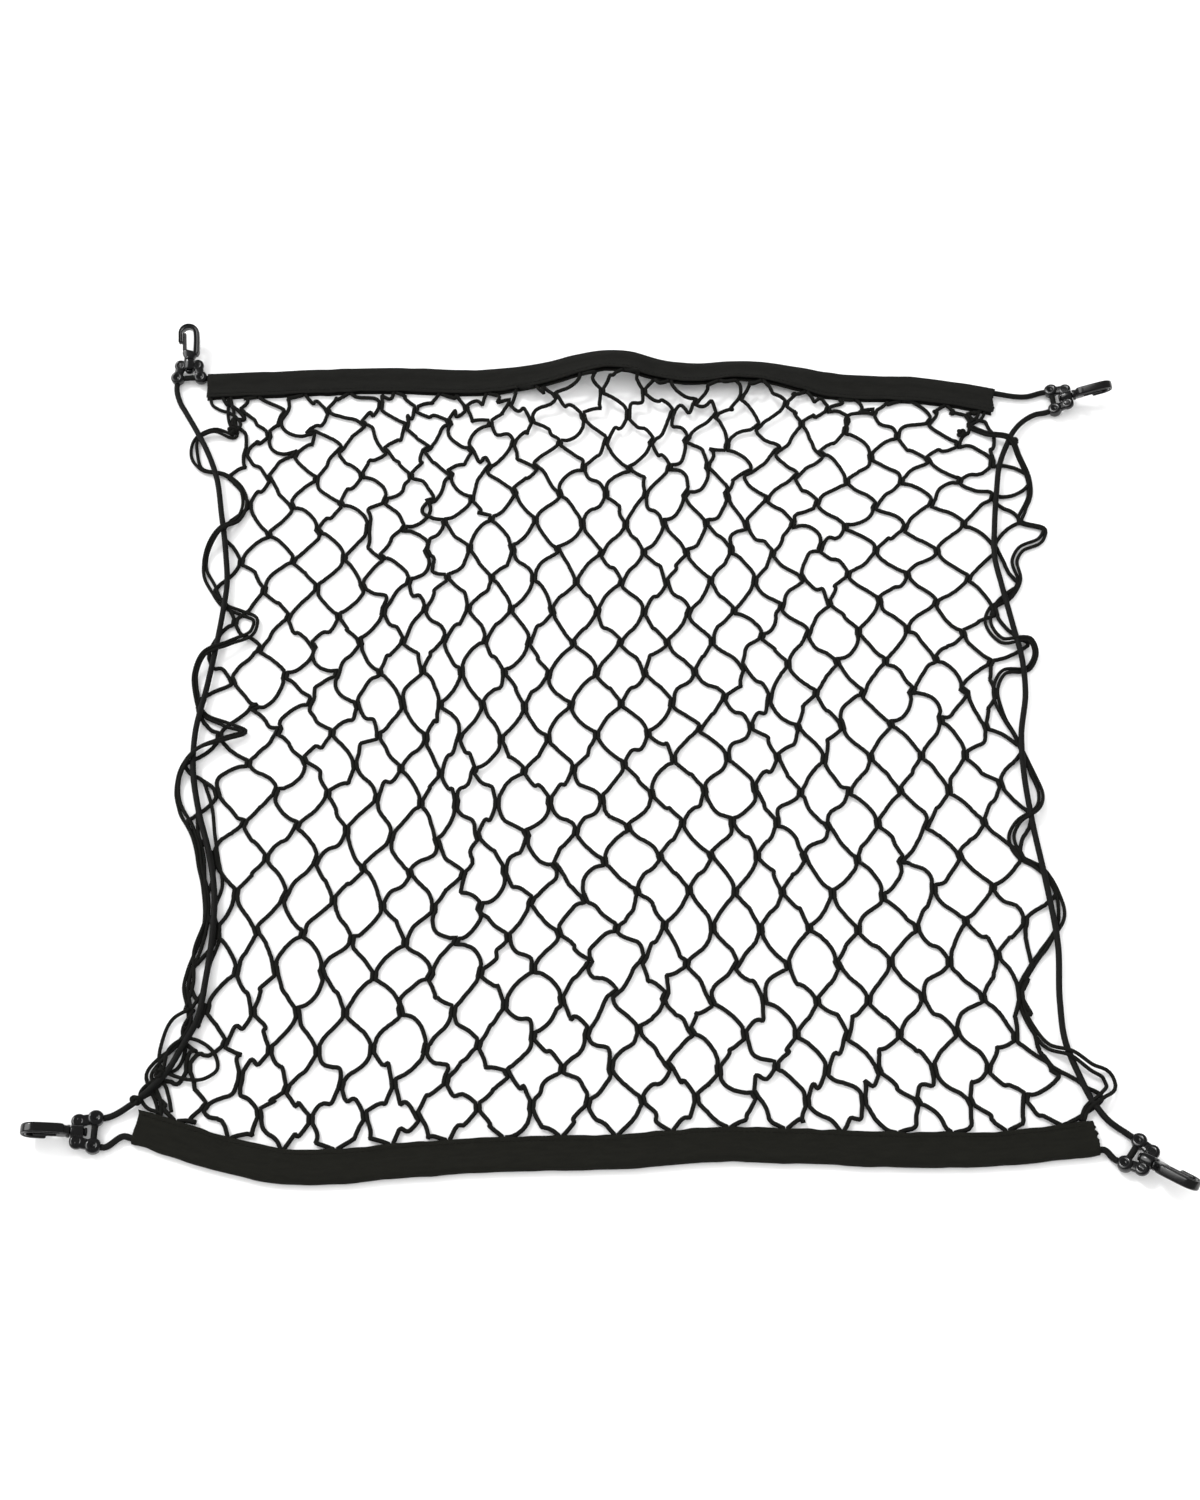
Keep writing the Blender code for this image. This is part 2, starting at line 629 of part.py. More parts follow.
def make_elastics(frames, look, parts, tools):
    """The two elastic cords, and a fatter copy of each that cuts its way through the ears."""
    for name, route in elastic_routes(frames).items():
        points = thin_route(smooth_route(route))
        add_object(name, tube(name, points, ELASTIC_R), parts, look)
        wide = add_object(name + "_way", tube(name + "_way", points, ELASTIC_R + GAP), tools)
        data = as_mesh(name + "_way", wide, 0.00001)
        bpy.data.objects.remove(wide)
        cutter = add_object(name + "_way", data, tools)
        hide_tool(cutter)
        for corner in ("top", "bottom"):
            target = bpy.data.objects["base_" + corner + name.replace("elastic", "")]
            boolean(target, cutter, "DIFFERENCE")


def main():
    """Clear the scene and build the cargo net."""
    for thing in list(bpy.data.objects):
        bpy.data.objects.remove(thing)
    parts, tools = collection("cargo_net"), collection("cutters")
    yarn = material("knitted_net_yarn", (0.018, 0.018, 0.017), 0.85)
    tape = material("woven_band_tape", (0.022, 0.022, 0.02), 0.8)
    elastic = material("braided_elastic", (0.02, 0.02, 0.019), 0.7)
    plastic = material("moulded_plastic", (0.03, 0.03, 0.03), 0.35)
    make_band("band_top", BAND_TOP, 1, BAND_STEP, tape, parts)
    make_band("band_bottom", BAND_BOTTOM, -1, FLAT_STEP, tape, parts)
    make_net(yarn, parts)
    frames = make_hooks(plastic, parts, tools)
    make_elastics(frames, elastic, parts, tools)


main()
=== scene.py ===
"""Looks of a black cargo net for a car boot, laid on a white floor.

The net is knotless: zigzag cords lie side by side, each joined to its left and right
neighbour in turn. A doubled selvedge cord winds in and out beside the elastic on each
side. Tape folded in two holds the net's ends, and a swivel hook turns in a base at each
corner. Tables and sizes are in millimetres, in the frame of the CAD, until a mesh is made.
"""
import math

import bpy
import numpy as np
from mathutils import Matrix, Vector


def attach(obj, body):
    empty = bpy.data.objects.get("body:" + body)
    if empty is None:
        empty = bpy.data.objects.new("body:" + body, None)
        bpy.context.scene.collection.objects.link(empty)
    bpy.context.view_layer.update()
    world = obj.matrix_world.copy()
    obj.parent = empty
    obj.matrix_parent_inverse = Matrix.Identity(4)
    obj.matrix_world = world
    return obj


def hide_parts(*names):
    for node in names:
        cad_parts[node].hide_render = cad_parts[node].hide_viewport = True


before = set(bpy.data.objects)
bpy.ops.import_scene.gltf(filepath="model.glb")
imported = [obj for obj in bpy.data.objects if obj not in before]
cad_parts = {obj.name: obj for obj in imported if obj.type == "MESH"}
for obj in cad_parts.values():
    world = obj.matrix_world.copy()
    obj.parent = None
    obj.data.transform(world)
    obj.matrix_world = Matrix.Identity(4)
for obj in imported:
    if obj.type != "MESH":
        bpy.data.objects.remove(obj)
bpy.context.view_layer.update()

MM = 0.001
SEED = 11

# Camera: the net's middle seen from the front and above, as photographed.
IMAGE = (1200, 1500)
FOCAL_PX = 1886
ELEVATION = 62.0
DISTANCE = 1500.0
AIM = (-9.5, -48.7)          # floor point seen at the pixel below
AIM_PX = (610, 770)

# Studio: one sun, and what the glossy nylon mirrors, dim but for a wide lamp at the left.
SUN_WAY = (-0.5, 0.5, 0.75)
SUN_STRENGTH = 1.1
SUN_SPREAD = 10.0
SKY_STRENGTH = 1.32
MIRRORED_WAY = (-0.68, 0.15, 0.7)
MIRRORED_DIM = 0.3
MIRRORED_LAMP = 5.5
MIRRORED_RIM = (0.86, 0.95)  # cosine from the lamp's middle, where it starts and is full
FLOOR_HALF = 6000
FLOOR_Z = -0.25

# Bands: x, y of the middle line, height of the low edge, tilt with the inner edge up.
BAND_TOP = (
    (-366, 333, 0, 0), (-328, 335, 0, 0), (-195, 340, 0, 0), (-128, 338, 0, 0),
    (-93, 340, 0.5, 6), (-60, 344, 3, 13), (-36, 349, 6, 17), (-12, 352.5, 7.5, 19),
    (8, 351.5, 7, 19), (32, 346, 3.5, 18), (70, 343, 0.8, 18), (100, 346, 0, 22),
    (123, 345.5, 0, 20), (161, 339.5, 0, 8), (185, 334.5, 0, 0), (220, 331.5, 0, 0),
    (258, 330, 0, 0), (295, 324.5, 0, 0), (331, 316.5, 0, 0))
BAND_BOTTOM = (
    (-354, -339.7, 0, 0), (-318, -351, 0, 0), (-285, -361, 0, 0), (-243, -369.5, 0, 0),
    (-204, -369.5, 0, 0), (-167, -365.9, 0, 0), (-98, -361.1, 0, 0), (11, -358, 0, 0),
    (63, -353.5, 0, 0), (114, -354.3, 0, 0), (191, -357.2, 0, 0), (267, -356.5, 0, 0),
    (340, -348.7, 0, 0))
BAND_HALF = 12.75
CLOTH = 1.0                  # thickness of the tape
SLOT = 3.2                   # between its two layers, where the net goes in
ELASTIC_R = 2.4
FOLD_R = ELASTIC_R + 0.55 + CLOTH / 2    # of the cloth's middle, round the elastic
FOLD_S = BAND_HALF - CLOTH / 2 - FOLD_R  # middle of the fold, across and up
FOLD_H = CLOTH / 2 + FOLD_R
DROP_S = 1.5                 # where the upper layer comes down from the fold, and how steeply
DROP_STEEP = 0.7
EDGE_S = -9.0                # where the net's ends are sewn, across the band
MOUTH_S = -13.3              # just outside the slot
MOUTH_H = CLOTH + SLOT / 2
BAND_STATION = 2.2           # between sections along a band
# Waves of the tape along a band, as pitch and size: of the free edge, of the fold, and two of
# the upper layer's height.
EDGE_WAVE = (9.0, 0.35)
FOLD_WAVE = (12.0, 0.3)
PUCKER = (7.0, 0.16)
SWELL = (26.0, 0.3)
SWELL_LEAST = -0.25
CUT_TOP = (0.0, 2.0)         # slant of the cut at a band's left and right end
CUT_BOTTOM = (4.0, -0.5)
CUT_FADE = 40                # power by which the slant fades along the band
FRAY = 0.5                   # random reach of the cut's threads, and its power
FRAY_FADE = 120
STITCH = 3.2                 # length of a stitch, and from one to the next
STITCH_STEP = 4.0
STITCH_STRAY = 0.1
STITCH_R = 0.3
STITCH_RISE = 0.3            # of its middle, and how deep its ends lie in the tape
STITCH_SUNK = 0.12
STITCH_POINTS = 6
STITCH_SIDES = 6
SEAM_END = 2.0               # from the band's end to its first stitch

# Net
CORDS = 34
ROWS = 25
CORD_R = 1.72                # thicker than the 3 mm of the real, for the photo's share of black
CORD_SIDES = 7
LEG = 28.6                   # cord from one joint to the next
LEG_POINTS = 14
JOINT_HALF = 3.3             # half the length where two cords run side by side
JOINT_SIDE = 1.52            # from a joint's middle to the middle of each cord
REST_Z = 1.72                # middle of a cord that lies on the floor
TURN_IN = 0.7                # how far a leg already points at its far end at a joint
TURN_IN_EDGE = 0.15          # and at a band
STRAY = 2.0                  # random stray of a joint, its lift and the most of it
LIFT = 1.0
LIFT_MOST = 2.5
JOINT_TURN = 0.2             # random turn of a joint, in radians
LEG_TURN = 0.26              # and of a leg where it leaves or meets one
EDGE_SLANT = (0.3, 1.35)     # and of a leg where it leaves or meets a band
LEG_STRAY = 0.8              # random stray of a leg's length
LEG_SPAN = (1.012, 1.75)     # least and most length of a leg, as shares of its span
BOW = 1.9                    # random bow of a leg
SWAY = (0.3, 5.5)            # double bend of a tight leg, and more of it for each share of slack
SLACK = (1.05, 0.5)          # share of its span from which a leg is slack, and the most slack
KINK = 0.5                   # random kink, another for one leg in five, and the most of both
SHARP_KINK = 1.3
SHARP_SHARE = 0.2
KINK_MOST = 2.8
KINK_AT = (0.27, 0.73)       # where along a leg a kink is, its random stray and its width
KINK_AT_STRAY = 0.07
KINK_WIDTH = 0.19
NOISE = 0.1                  # of each point on a leg
# Crumpled rows by the top and the bottom band: how much more joints stray, and over how many
# rows, then the same of the bows and kinks of legs.
JOINTS_TOP = (1.9, 4.0)
JOINTS_LOW = (1.0, 2.0)
LEGS_TOP = (1.3, 4.0)
LEGS_LOW = (0.9, 1.5)
ARCH_FADE = 0.045            # depth in which the net comes down from the arched band
SETTLE_SPAN = (0.42, 1.04)   # shares of its length between which a leg's span is left alone
SETTLE_SHARE = 0.25
SETTLE_ROUNDS = 40
TANGENTS = (4.0, 80.0)       # least and most scale of a leg's tangents
HALVINGS = 18
# Row, then how far below it the next row of joints lies.
ROW_STEPS = ((0, 17), (1, 21), (2, 32), (4, 28), (6, 31.5), (10, 30), (14, 26.5), (20, 28),
             (24, 23))
# Where the net lies snarled: x, y, how far it reaches and how much more the cords stray.
SNARLS = np.array((
    (-188, 155, 32, 1.7), (-262, 25, 44, 1.7), (-288, -31, 38, 1.6), (-150, 220, 26, 1.4),
    (-113, -182, 44, 1.7), (-143, -251, 26, 1.6), (136, 166, 34, 1.4), (78, 245, 34, 1.3),
    (230, 20, 40, 1.8), (215, -134, 38, 1.5), (132, -86, 30, 1.6), (-22, -143, 34, 1.4),
    (20, -235, 36, 1.2), (-75, -95, 24, 1.2)))
# Row, then x, y of its joint at every fourth column.
PLACE_STEP = 4
PLACES = (
    (5, ((-320, 207), (-232, 212), (-163, 209), (-93, 225), (-9, 217), (55, 222),
         (127, 210), (209, 210), (296, 212))),
    (9, ((-304, 89), (-231, 93), (-163, 105), (-98, 100), (-20, 98), (58, 97),
         (133, 107), (212, 112), (287, 98))),
    (15, ((-306, -66), (-232, -69), (-159, -81), (-97, -79), (-16, -76), (66, -63),
          (142, -67), (216, -72), (285, -61))),
    (21, ((-311, -251), (-246, -256), (-166, -257), (-90, -249), (-5, -239), (68, -247),
          (144, -245), (221, -245), (297, -245))))
TOP_LINE = (-352, 321)       # where the first and last cord leave the top band
LOW_LINE = (-338, 328)

# Selvedge of each side, from the top band down: x, y, height of the middle.
LEFT_SELVEDGE = (
    (-346, 323, 2.6), (-342, 299, 2), (-338, 279, 2.5), (-355, 283, 6), (-370, 276, 3),
    (-371, 260, 1.7), (-363, 244, 2), (-342, 238, 1.7), (-326, 222, 3), (-322, 205, 3.4),
    (-326, 190, 4), (-339, 177, 9.6), (-349, 157, 5), (-349.5, 139, 2), (-341, 121, 2),
    (-331, 105, 1.7), (-315, 97, 2), (-303, 90, 3.2), (-304, 78, 4), (-321, 65, 8),
    (-341, 53, 9.8), (-347, 38.5, 5), (-345, 20, 2), (-338, 2, 1.7), (-318, -9, 3),
    (-302, -17, 5), (-316, -23, 6), (-340, -37, 9.7), (-350, -53, 4), (-351, -70, 2),
    (-346, -86, 2), (-337, -101, 3), (-330, -118, 5), (-326, -135, 4), (-321, -152, 3),
    (-318, -170, 2), (-318, -187, 2), (-321, -203, 2), (-325, -218, 3), (-327, -235, 4),
    (-323, -250, 3), (-322, -263, 2), (-329, -278, 3), (-340, -290, 4), (-347, -302, 4),
    (-343, -312, 3), (-338, -322, 2.6), (-336, -333, 2.6))
RIGHT_SELVEDGE = (
    (321, 311, 2.6), (317, 300, 2.4), (307, 291, 2.6), (318, 283, 3), (340, 271, 9.6),
    (346, 255, 6), (353, 233, 2), (352, 216, 1.7), (345, 200, 1.7), (341, 190, 2),
    (361, 180, 2), (357, 171, 2), (338, 160, 2), (332.5, 150, 2), (334, 129, 2),
    (325, 113, 1.9), (308, 101, 2), (304, 88, 2), (313, 71, 2), (336, 66, 9.4),
    (339, 57, 7), (333, 44, 2), (312, 39.7, 3), (304, 25, 3), (308, -2, 2),
    (315, -18, 1.7), (320, -34, 1.8), (326, -54, 2), (330, -72, 3), (325, -86, 8),
    (309, -97, 4), (303.5, -107, 2), (308, -125, 2), (324, -136, 1.7), (332, -151, 2),
    (334, -178, 2), (323, -196, 1.8), (307, -217, 2), (297, -235, 2), (297, -248, 2),
    (303, -266, 3), (312, -279, 3), (328, -287, 9.6), (342, -297, 7), (353, -302, 3),
    (355, -309, 3), (346, -319, 9), (335, -327, 4), (331, -336, 2.6))
SELVEDGE_R = 1.45
SELVEDGE_SIDES = 10
SELVEDGE_STEP = 2.6
SELVEDGE_APART = 1.25        # from the selvedge's middle to each of its two cords
SELVEDGE_SPREAD = (24.0, 0.8)            # pitch and size by which they part
SELVEDGE_ROLL = (40.0, 0.5)              # and by which they turn about each other, in radians
SELVEDGE_HALF = 2.0          # half the length where a leg lies along the selvedge
SELVEDGE_JOINT_MOST = 2.2    # height to which such a place keeps
FLOOR_GAP = 0.05

# Cord ends gathered up beside the left selvedge, and those snarled at its foot.
STRAYS = (
    ((-340, -40, 4), (-340, -58, 4), (-334, -80, 4.5), (-331, -104, 3.5), (-325, -124, 3),
     (-321, -150, 3.5), (-318, -176, 3), (-324, -204, 3), (-322, -232, 3.4),
     (-326, -252, 3.5)),
    ((-331, -60, 2), (-322, -84, 2.5), (-318, -106, 2), (-313, -128, 1.8),
     (-308, -150, 1.8), (-312, -172, 2), (-306, -192, 1.8), (-311, -214, 2),
     (-314, -236, 3), (-322, -252, 4)),
    ((-322, -251, 5), (-334, -258, 3), (-340, -274, 3), (-338, -297, 4), (-327, -303, 4.4),
     (-306, -304, 3.2), (-298, -297, 2), (-301, -285, 2), (-310, -277, 3),
     (-323, -274, 4.6), (-333, -281, 5.6), (-337, -299, 5)),
    ((-319, -251, 3.4), (-326, -266, 3.2), (-323, -283, 1.8), (-327, -296, 2),
     (-340, -303, 3), (-352, -316, 3), (-346, -326, 3.4), (-334, -330, 3)),
    ((-338, -300, 5), (-347, -314, 5), (-356, -322, 4.6), (-345, -316, 3.4),
     (-336, -308, 3), (-331, -318, 2.6), (-328, -329, 2.6)),
    ((-362, 324, 2.6), (-361, 315, 1.8), (-354, 309, 1.7), (-344, 305, 1.7),
     (-337, 299, 2.4), (-333, 290, 3.4), (-337, 283, 4)))
# Tied ends: x, y, height of the middle.
KNOTS = ((343, 271, 6), (-354, -322, 7), (-339, -301, 7), (-340, 284, 4), (299, 282, 3.4))
KNOT_R = 2.3
KNOT_SWING = 0.9             # in and out, and up and down
KNOT_RISE = 1.5
STRAY_STEP = 2.0

ELASTIC_SIDES = 12
ELASTIC_STEP = 1.6
ELASTIC_IN = 13.0            # how far the elastic reaches into a band
LEAD = 3.0                   # how far it runs straight on outside
# Elastic down each side, from the top hook's base to the bottom one: x, y, height.
LEFT_RUN = (
    (-389.5, 317.5, 3.6), (-381, 301.5, 4.6), (-371, 283.5, 5.75), (-359.5, 261.5, 5.75),
    (-348.5, 233.5, 5.75), (-340.4, 194.5, 5.75), (-333, 154.5, 5.75), (-329, 121.5, 5.75),
    (-329.9, 96.5, 5.75), (-332.4, 61.5, 5.75), (-336, 25.5, 5.75), (-341.4, -19.5, 5.75),
    (-339.7, -51.5, 5.75), (-331.2, -89.5, 5.75), (-320, -124.5, 5.75),
    (-312.5, -159.5, 5.75), (-311, -193.5, 5.75), (-312.5, -228.5, 5.75),
    (-316.3, -261.5, 5.75), (-325, -281.5, 5.75), (-334.9, -301.5, 5.75),
    (-346, -314.5, 5.75), (-358, -325, 4.8))
RIGHT_RUN = (
    (366, 302, 3.6), (355, 294.5, 4.6), (345, 283, 5.75), (337, 267.5, 5.75),
    (329, 247.5, 5.75), (323, 216.5, 5.75), (318, 182.5, 5.75), (315, 148.5, 5.75),
    (317.8, 124.5, 5.75), (323.3, 83.5, 5.75), (327.5, 51.5, 5.75), (327, 19.5, 5.75),
    (319.5, -20.5, 5.75), (318, -50.5, 5.75), (319.8, -94.5, 5.75), (325, -148.5, 5.75),
    (328.3, -200.5, 5.75), (324.5, -246.5, 5.75), (325, -276.5, 5.75),
    (331.5, -300.5, 5.75), (340, -322.5, 5.75), (349, -335.5, 4.6))

# Name, x, y and height of the swivel, heading, pitch, turn of the hook (degrees).
HOOKS = (
    ("top_left", -383.4, 352.5, 8.148, 93, 15, 0),
    ("top_right", 393.5, 317, 9.488, 4, 20, 68),
    ("bottom_left", -392.5, -345, 7.314, 181, 12, 90),
    ("bottom_right", 372.0, -366.5, 9.488, -37, 20, 55))
EAR = (-11.6, 10.2)          # middle of an ear, in its swivel's frame
TURN_R = 6.5                 # bend of the elastic inside an ear
LEAVE = (-18.1, 10.8)        # where the elastic leaves an ear, pointing backwards
TOP_RIGHT_TURN = (360, 321.9, 3.4)       # on its way from the top band to the right base

# Moulded pieces, each in its swivel's frame: x along the swivel, z out of the flat side.
TURNED_SIDES = 28
END_TURNS = (84, 62, 40, 20)             # degrees round a bar's rounded end
END_DEPTH = 1.6              # width that an end loses, for each share of its length
EAR_R = 5.7
EAR_HALF = 3.8
LOBE_Y = 7.5
LOBE_R = 5.4
PLATE_HALF = 2.5
WEB_HALF = 4.3               # half width of the web from a lobe to its ear, and its taper
WEB_TAPER = 0.9
ARM_HALF = 4.2
HUB = (-4.2, 5.2, 5.2, 2.75)             # back, front, radius, bore
SHANK = ((-6.55, 0), (-6.55, 2.4), (-6.3, 2.9), (-5.8, 3.1), (-4.6, 3.1), (-4.55, 2.3),
         (5.5, 2.3), (5.55, 4.3), (5.9, 4.6), (7.2, 4.6), (8.0, 4.3), (8.4, 3.4), (9.6, 2.6),
         (9.6, 0))
HOOK_HALF = 3.5              # half the thickness of the hook's bar
# x, y, half width: the bar from the yoke along the back, round the tip and down the nose.
BACK_BAR = ((11.0, -5.6, 2.2), (13.0, -6.3, 2.6), (16.0, -6.5, 2.6), (30.8, -6.5, 2.6))
TIP_BEND = (30.775, 0.575, 7.075)        # middle and radius of the bend, then its half widths
TIP_HALF = (2.6, 1.75)
NOSE_BAR = ((29.0, 7.65, 1.7), (26.0, 7.65, 1.7), (23.0, 7.65, 1.75))
YOKE_BAR = ((6.8, -0.1, 4.3), (8.2, -0.2, 5.0), (9.4, -0.35, 5.7), (11.0, -0.4, 6.3),
            (12.6, -0.9, 6.7))
GATE_PIVOT = (15.25, 4.0)
GATE_BAR = ((0, 0, 1.6), (5, 0, 1.55), (10, 0, 1.5), (15.3, 0, 1.45))
GATE_HALF = 2.7
# Quarter of a bar's section, as shares of its half width and half thickness.
SUNK = ((1.0, 0.0), (1.0, 0.5), (0.97, 0.74), (0.86, 0.92), (0.68, 1.0), (0.5, 0.95),
        (0.38, 0.78), (0.22, 0.7), (0.0, 0.7))
PLAIN = ((1.0, 0.0), (0.99, 0.4), (0.94, 0.68), (0.82, 0.88), (0.62, 0.98), (0.3, 1.0),
         (0.0, 1.0))


# ---------------------------------------------------------------- curves and meshes

def smooth_rows(rows, at):
    """Every column of a table, read on the cubic Hermite curve through its rows.

    The slope at a row is the central difference over its two neighbours."""
    rows = np.array(rows, float)
    rows = rows[np.argsort(rows[:, 0])]
    key, values = rows[:, 0], rows[:, 1:]
    slope = np.gradient(values, key, axis=0)
    at = np.clip(np.atleast_1d(np.asarray(at, float)), key[0], key[-1])
    i = np.clip(np.searchsorted(key, at) - 1, 0, len(key) - 2)
    span = (key[i + 1] - key[i])[:, None]
    t = (at - key[i])[:, None] / span
    start = (1 + 2 * t) * (1 - t) ** 2 * values[i] + t * (1 - t) ** 2 * span * slope[i]
    end = t * t * (3 - 2 * t) * values[i + 1] + t * t * (t - 1) * span * slope[i + 1]
    return start + end


def smooth_route(points, fine):
    """Even points on the smooth curve through a route's own points."""
    points = np.array(points, float)
    steps = np.linalg.norm(np.diff(points, axis=0), axis=1)
    along = np.concatenate(([0.0], np.cumsum(steps)))
    at = np.linspace(0, along[-1], int(along[-1] / fine))
    return smooth_rows(np.column_stack((along, points)), at)


def unit(vectors):
    """Vectors along the last axis made one long."""
    return vectors / np.maximum(np.linalg.norm(vectors, axis=-1, keepdims=True), 1e-9)


def wander(rng, at, pitch, size):
    """Smooth random values along a line: random knots every pitch, joined by cosines."""
    at = np.asarray(at, float)
    knots = rng.normal(0, size, int(at.max() / pitch) + 3)
    i = (at / pitch).astype(int)
    t = 0.5 - 0.5 * np.cos(np.pi * (at / pitch - i))
    return knots[i] * (1 - t) + knots[i + 1] * t


def tube_arrays(paths, radius, sides):
    """Tubes: a ring of points round each path point, level with the floor on one axis.

    Returns points, quads, end triangles and the quads' corner UVs (turn, length in mm)."""
    many, count = paths.shape[:2]
    run = unit(np.gradient(paths, axis=1))
    side = unit(np.cross(run, (0.0, 0.0, 1.0)))
    up = np.cross(side, run)
    turn = np.arange(sides) * 2 * np.pi / sides
    ring = side[:, :, None] * np.cos(turn)[:, None] + up[:, :, None] * np.sin(turn)[:, None]
    radius = np.broadcast_to(radius, (many, count))
    points = (paths[:, :, None] + ring * radius[:, :, None, None]).reshape(-1, 3)
    index = np.arange(many * count * sides).reshape(many, count, sides)
    ahead = np.roll(index, -1, axis=2)
    quads = np.stack((index[:, :-1], ahead[:, :-1], ahead[:, 1:], index[:, 1:]), -1)
    ends = np.concatenate((paths[:, 0], paths[:, -1]))
    first = len(points)
    low = np.arange(many)[:, None] + first
    high = low + many
    spread = np.broadcast_to
    fan_low = np.stack((spread(low, (many, sides)), ahead[:, 0], index[:, 0]), -1)
    fan_high = np.stack((spread(high, (many, sides)), index[:, -1], ahead[:, -1]), -1)
    fans = np.concatenate((fan_low.reshape(-1, 3), fan_high.reshape(-1, 3)))
    steps = np.linalg.norm(np.diff(paths, axis=1), axis=2)
    along = np.concatenate((np.zeros((many, 1)), np.cumsum(steps, axis=1)), axis=1)
    here = np.arange(sides) / sides
    u = np.stack((here, here + 1 / sides, here + 1 / sides, here), -1)
    u = np.broadcast_to(u, (many, count - 1, sides, 4))
    a, b = along[:, :-1, None], along[:, 1:, None]
    v = np.stack(np.broadcast_arrays(a, a, b, b), -1)
    v = np.broadcast_to(v, (many, count - 1, sides, 4))
    return np.concatenate((points, ends)), quads.reshape(-1, 4), fans, np.stack((u, v), -1)


def mesh_piece(name, points, faces, look, uv=None):
    """A smooth-shaded mesh object from arrays in mm, its corner UVs given face by face."""
    data = bpy.data.meshes.new(name)
    data.from_pydata((np.asarray(points) * MM).tolist(), [], [list(f) for f in faces])
    if uv is not None:
        layer = data.uv_layers.new(name="along")
        flat = np.zeros((len(data.loops), 2), np.float32)
        flat[:len(uv)] = uv
        layer.data.foreach_set("uv", flat.ravel())
    data.polygons.foreach_set("use_smooth", [True] * len(data.polygons))
    data.materials.append(look)
    data.update()
    thing = bpy.data.objects.new(name, data)
    bpy.context.collection.objects.link(thing)
    return thing


def joined(parts):
    """Several tube arrays put together as one set of points, faces and UVs."""
    points, quads, fans, uvs, first = [], [], [], [], 0
    for p, q, f, uv in parts:
        points.append(p)
        quads.append(q + first)
        fans.append(f + first)
        uvs.append(uv.reshape(-1, 2))
        first += len(p)
    faces = np.concatenate(quads).tolist() + np.concatenate(fans).tolist()
    return np.concatenate(points), faces, np.concatenate(uvs)


# ---------------------------------------------------------------- materials

# At scale 1 a diagonal wave of the Wave texture is 0.63 long along either axis, and a straight
# one 0.31. UVs are in millimetres, but once round a cord is 1.
KNIT = (6.0, 0.75, 1.0)      # stitches 0.84 mm long, ten round the cord
WEAVE = 0.55                 # threads 0.57 mm apart
STREAKS = (0.06, 0.35, 1.0)  # faded streaks 17 mm long and 3 mm wide
BRAID = (8.0, 0.5, 1.0)      # strands 1.3 mm apart, thirteen round the elastic
GRAIN = 700.0                # mould grain 1.4 mm across, coarser than the real, to show


def linear(code):
    """An sRGB hex colour as linear RGBA."""
    parts = [int(code[i:i + 2], 16) / 255 for i in (0, 2, 4)]
    return (*[c / 12.92 if c <= 0.04045 else ((c + 0.055) / 1.055) ** 2.4 for c in parts], 1.0)


def add(tree, kind, links=(), **settings):
    """A node with its settings (by socket name, or attribute) and its incoming links."""
    node = tree.nodes.new(kind)
    for key, value in settings.items():
        socket = key.replace("_", " ")
        if hasattr(node, key):
            setattr(node, key, value)
        else:
            node.inputs[socket].default_value = value
    for source, output, target in links:
        tree.links.new(source.outputs[output], node.inputs[target])
    return node


def new_look(name, colour, roughness, **more):
    """A Principled material with its colour, roughness and other sockets set."""
    look = bpy.data.materials.new(name)
    look.use_nodes = True
    shader = look.node_tree.nodes["Principled BSDF"]
    shader.inputs["Base Color"].default_value = linear(colour)
    shader.inputs["Roughness"].default_value = roughness
    for key, value in more.items():
        shader.inputs[key.replace("_", " ")].default_value = value
    return look, look.node_tree, shader


def knitted_polyester_cord():
    """Polyester yarn, knitted to a cord."""
    # Gives the eye a matt, soft black with hardly a highlight, and slanting stitches close by.
    look, tree, shader = new_look("knitted_polyester_cord", "141412", 0.85,
                                  Specular_IOR_Level=0.1)
    place = add(tree, "ShaderNodeUVMap", uv_map="along")
    fit = add(tree, "ShaderNodeMapping", [(place, "UV", "Vector")], Scale=KNIT)
    wale = add(tree, "ShaderNodeTexWave", [(fit, "Vector", "Vector")], Scale=1.0,
               Distortion=0.6, bands_direction="DIAGONAL")
    bump = add(tree, "ShaderNodeBump", [(wale, "Fac", "Height")], Strength=0.5,
               Distance=0.0003)
    tree.links.new(bump.outputs["Normal"], shader.inputs["Normal"])
    return look


def woven_polyester_tape(name, colour):
    """Polyester tape, plain woven."""
    # Gives the eye a flat, matt black with a fine grid of threads and faint lengthwise streaks.
    look, tree, shader = new_look(name, colour, 0.85, Specular_IOR_Level=0.1)
    place = add(tree, "ShaderNodeUVMap", uv_map="along")
    warp = add(tree, "ShaderNodeTexWave", [(place, "UV", "Vector")], Scale=WEAVE,
               bands_direction="X")
    weft = add(tree, "ShaderNodeTexWave", [(place, "UV", "Vector")], Scale=WEAVE,
               bands_direction="Y")
    both = add(tree, "ShaderNodeMath", [(warp, "Fac", 0), (weft, "Fac", 1)],
               operation="MULTIPLY")
    run = add(tree, "ShaderNodeMapping", [(place, "UV", "Vector")], Scale=STREAKS)
    streak = add(tree, "ShaderNodeTexNoise", [(run, "Vector", "Vector")], Scale=1.0,
                 Detail=3.0)
    shade = add(tree, "ShaderNodeMapRange", [(streak, "Fac", "Value")], From_Min=0.3,
                From_Max=0.7, To_Min=0.88, To_Max=1.12)
    tint = add(tree, "ShaderNodeVectorMath", [(shade, "Result", 0)], operation="MULTIPLY")
    tint.inputs[1].default_value = linear(colour)[:3]
    tree.links.new(tint.outputs["Vector"], shader.inputs["Base Color"])
    bump = add(tree, "ShaderNodeBump", [(both, "Value", "Height")], Strength=0.45,
               Distance=0.0003)
    tree.links.new(bump.outputs["Normal"], shader.inputs["Normal"])
    return look


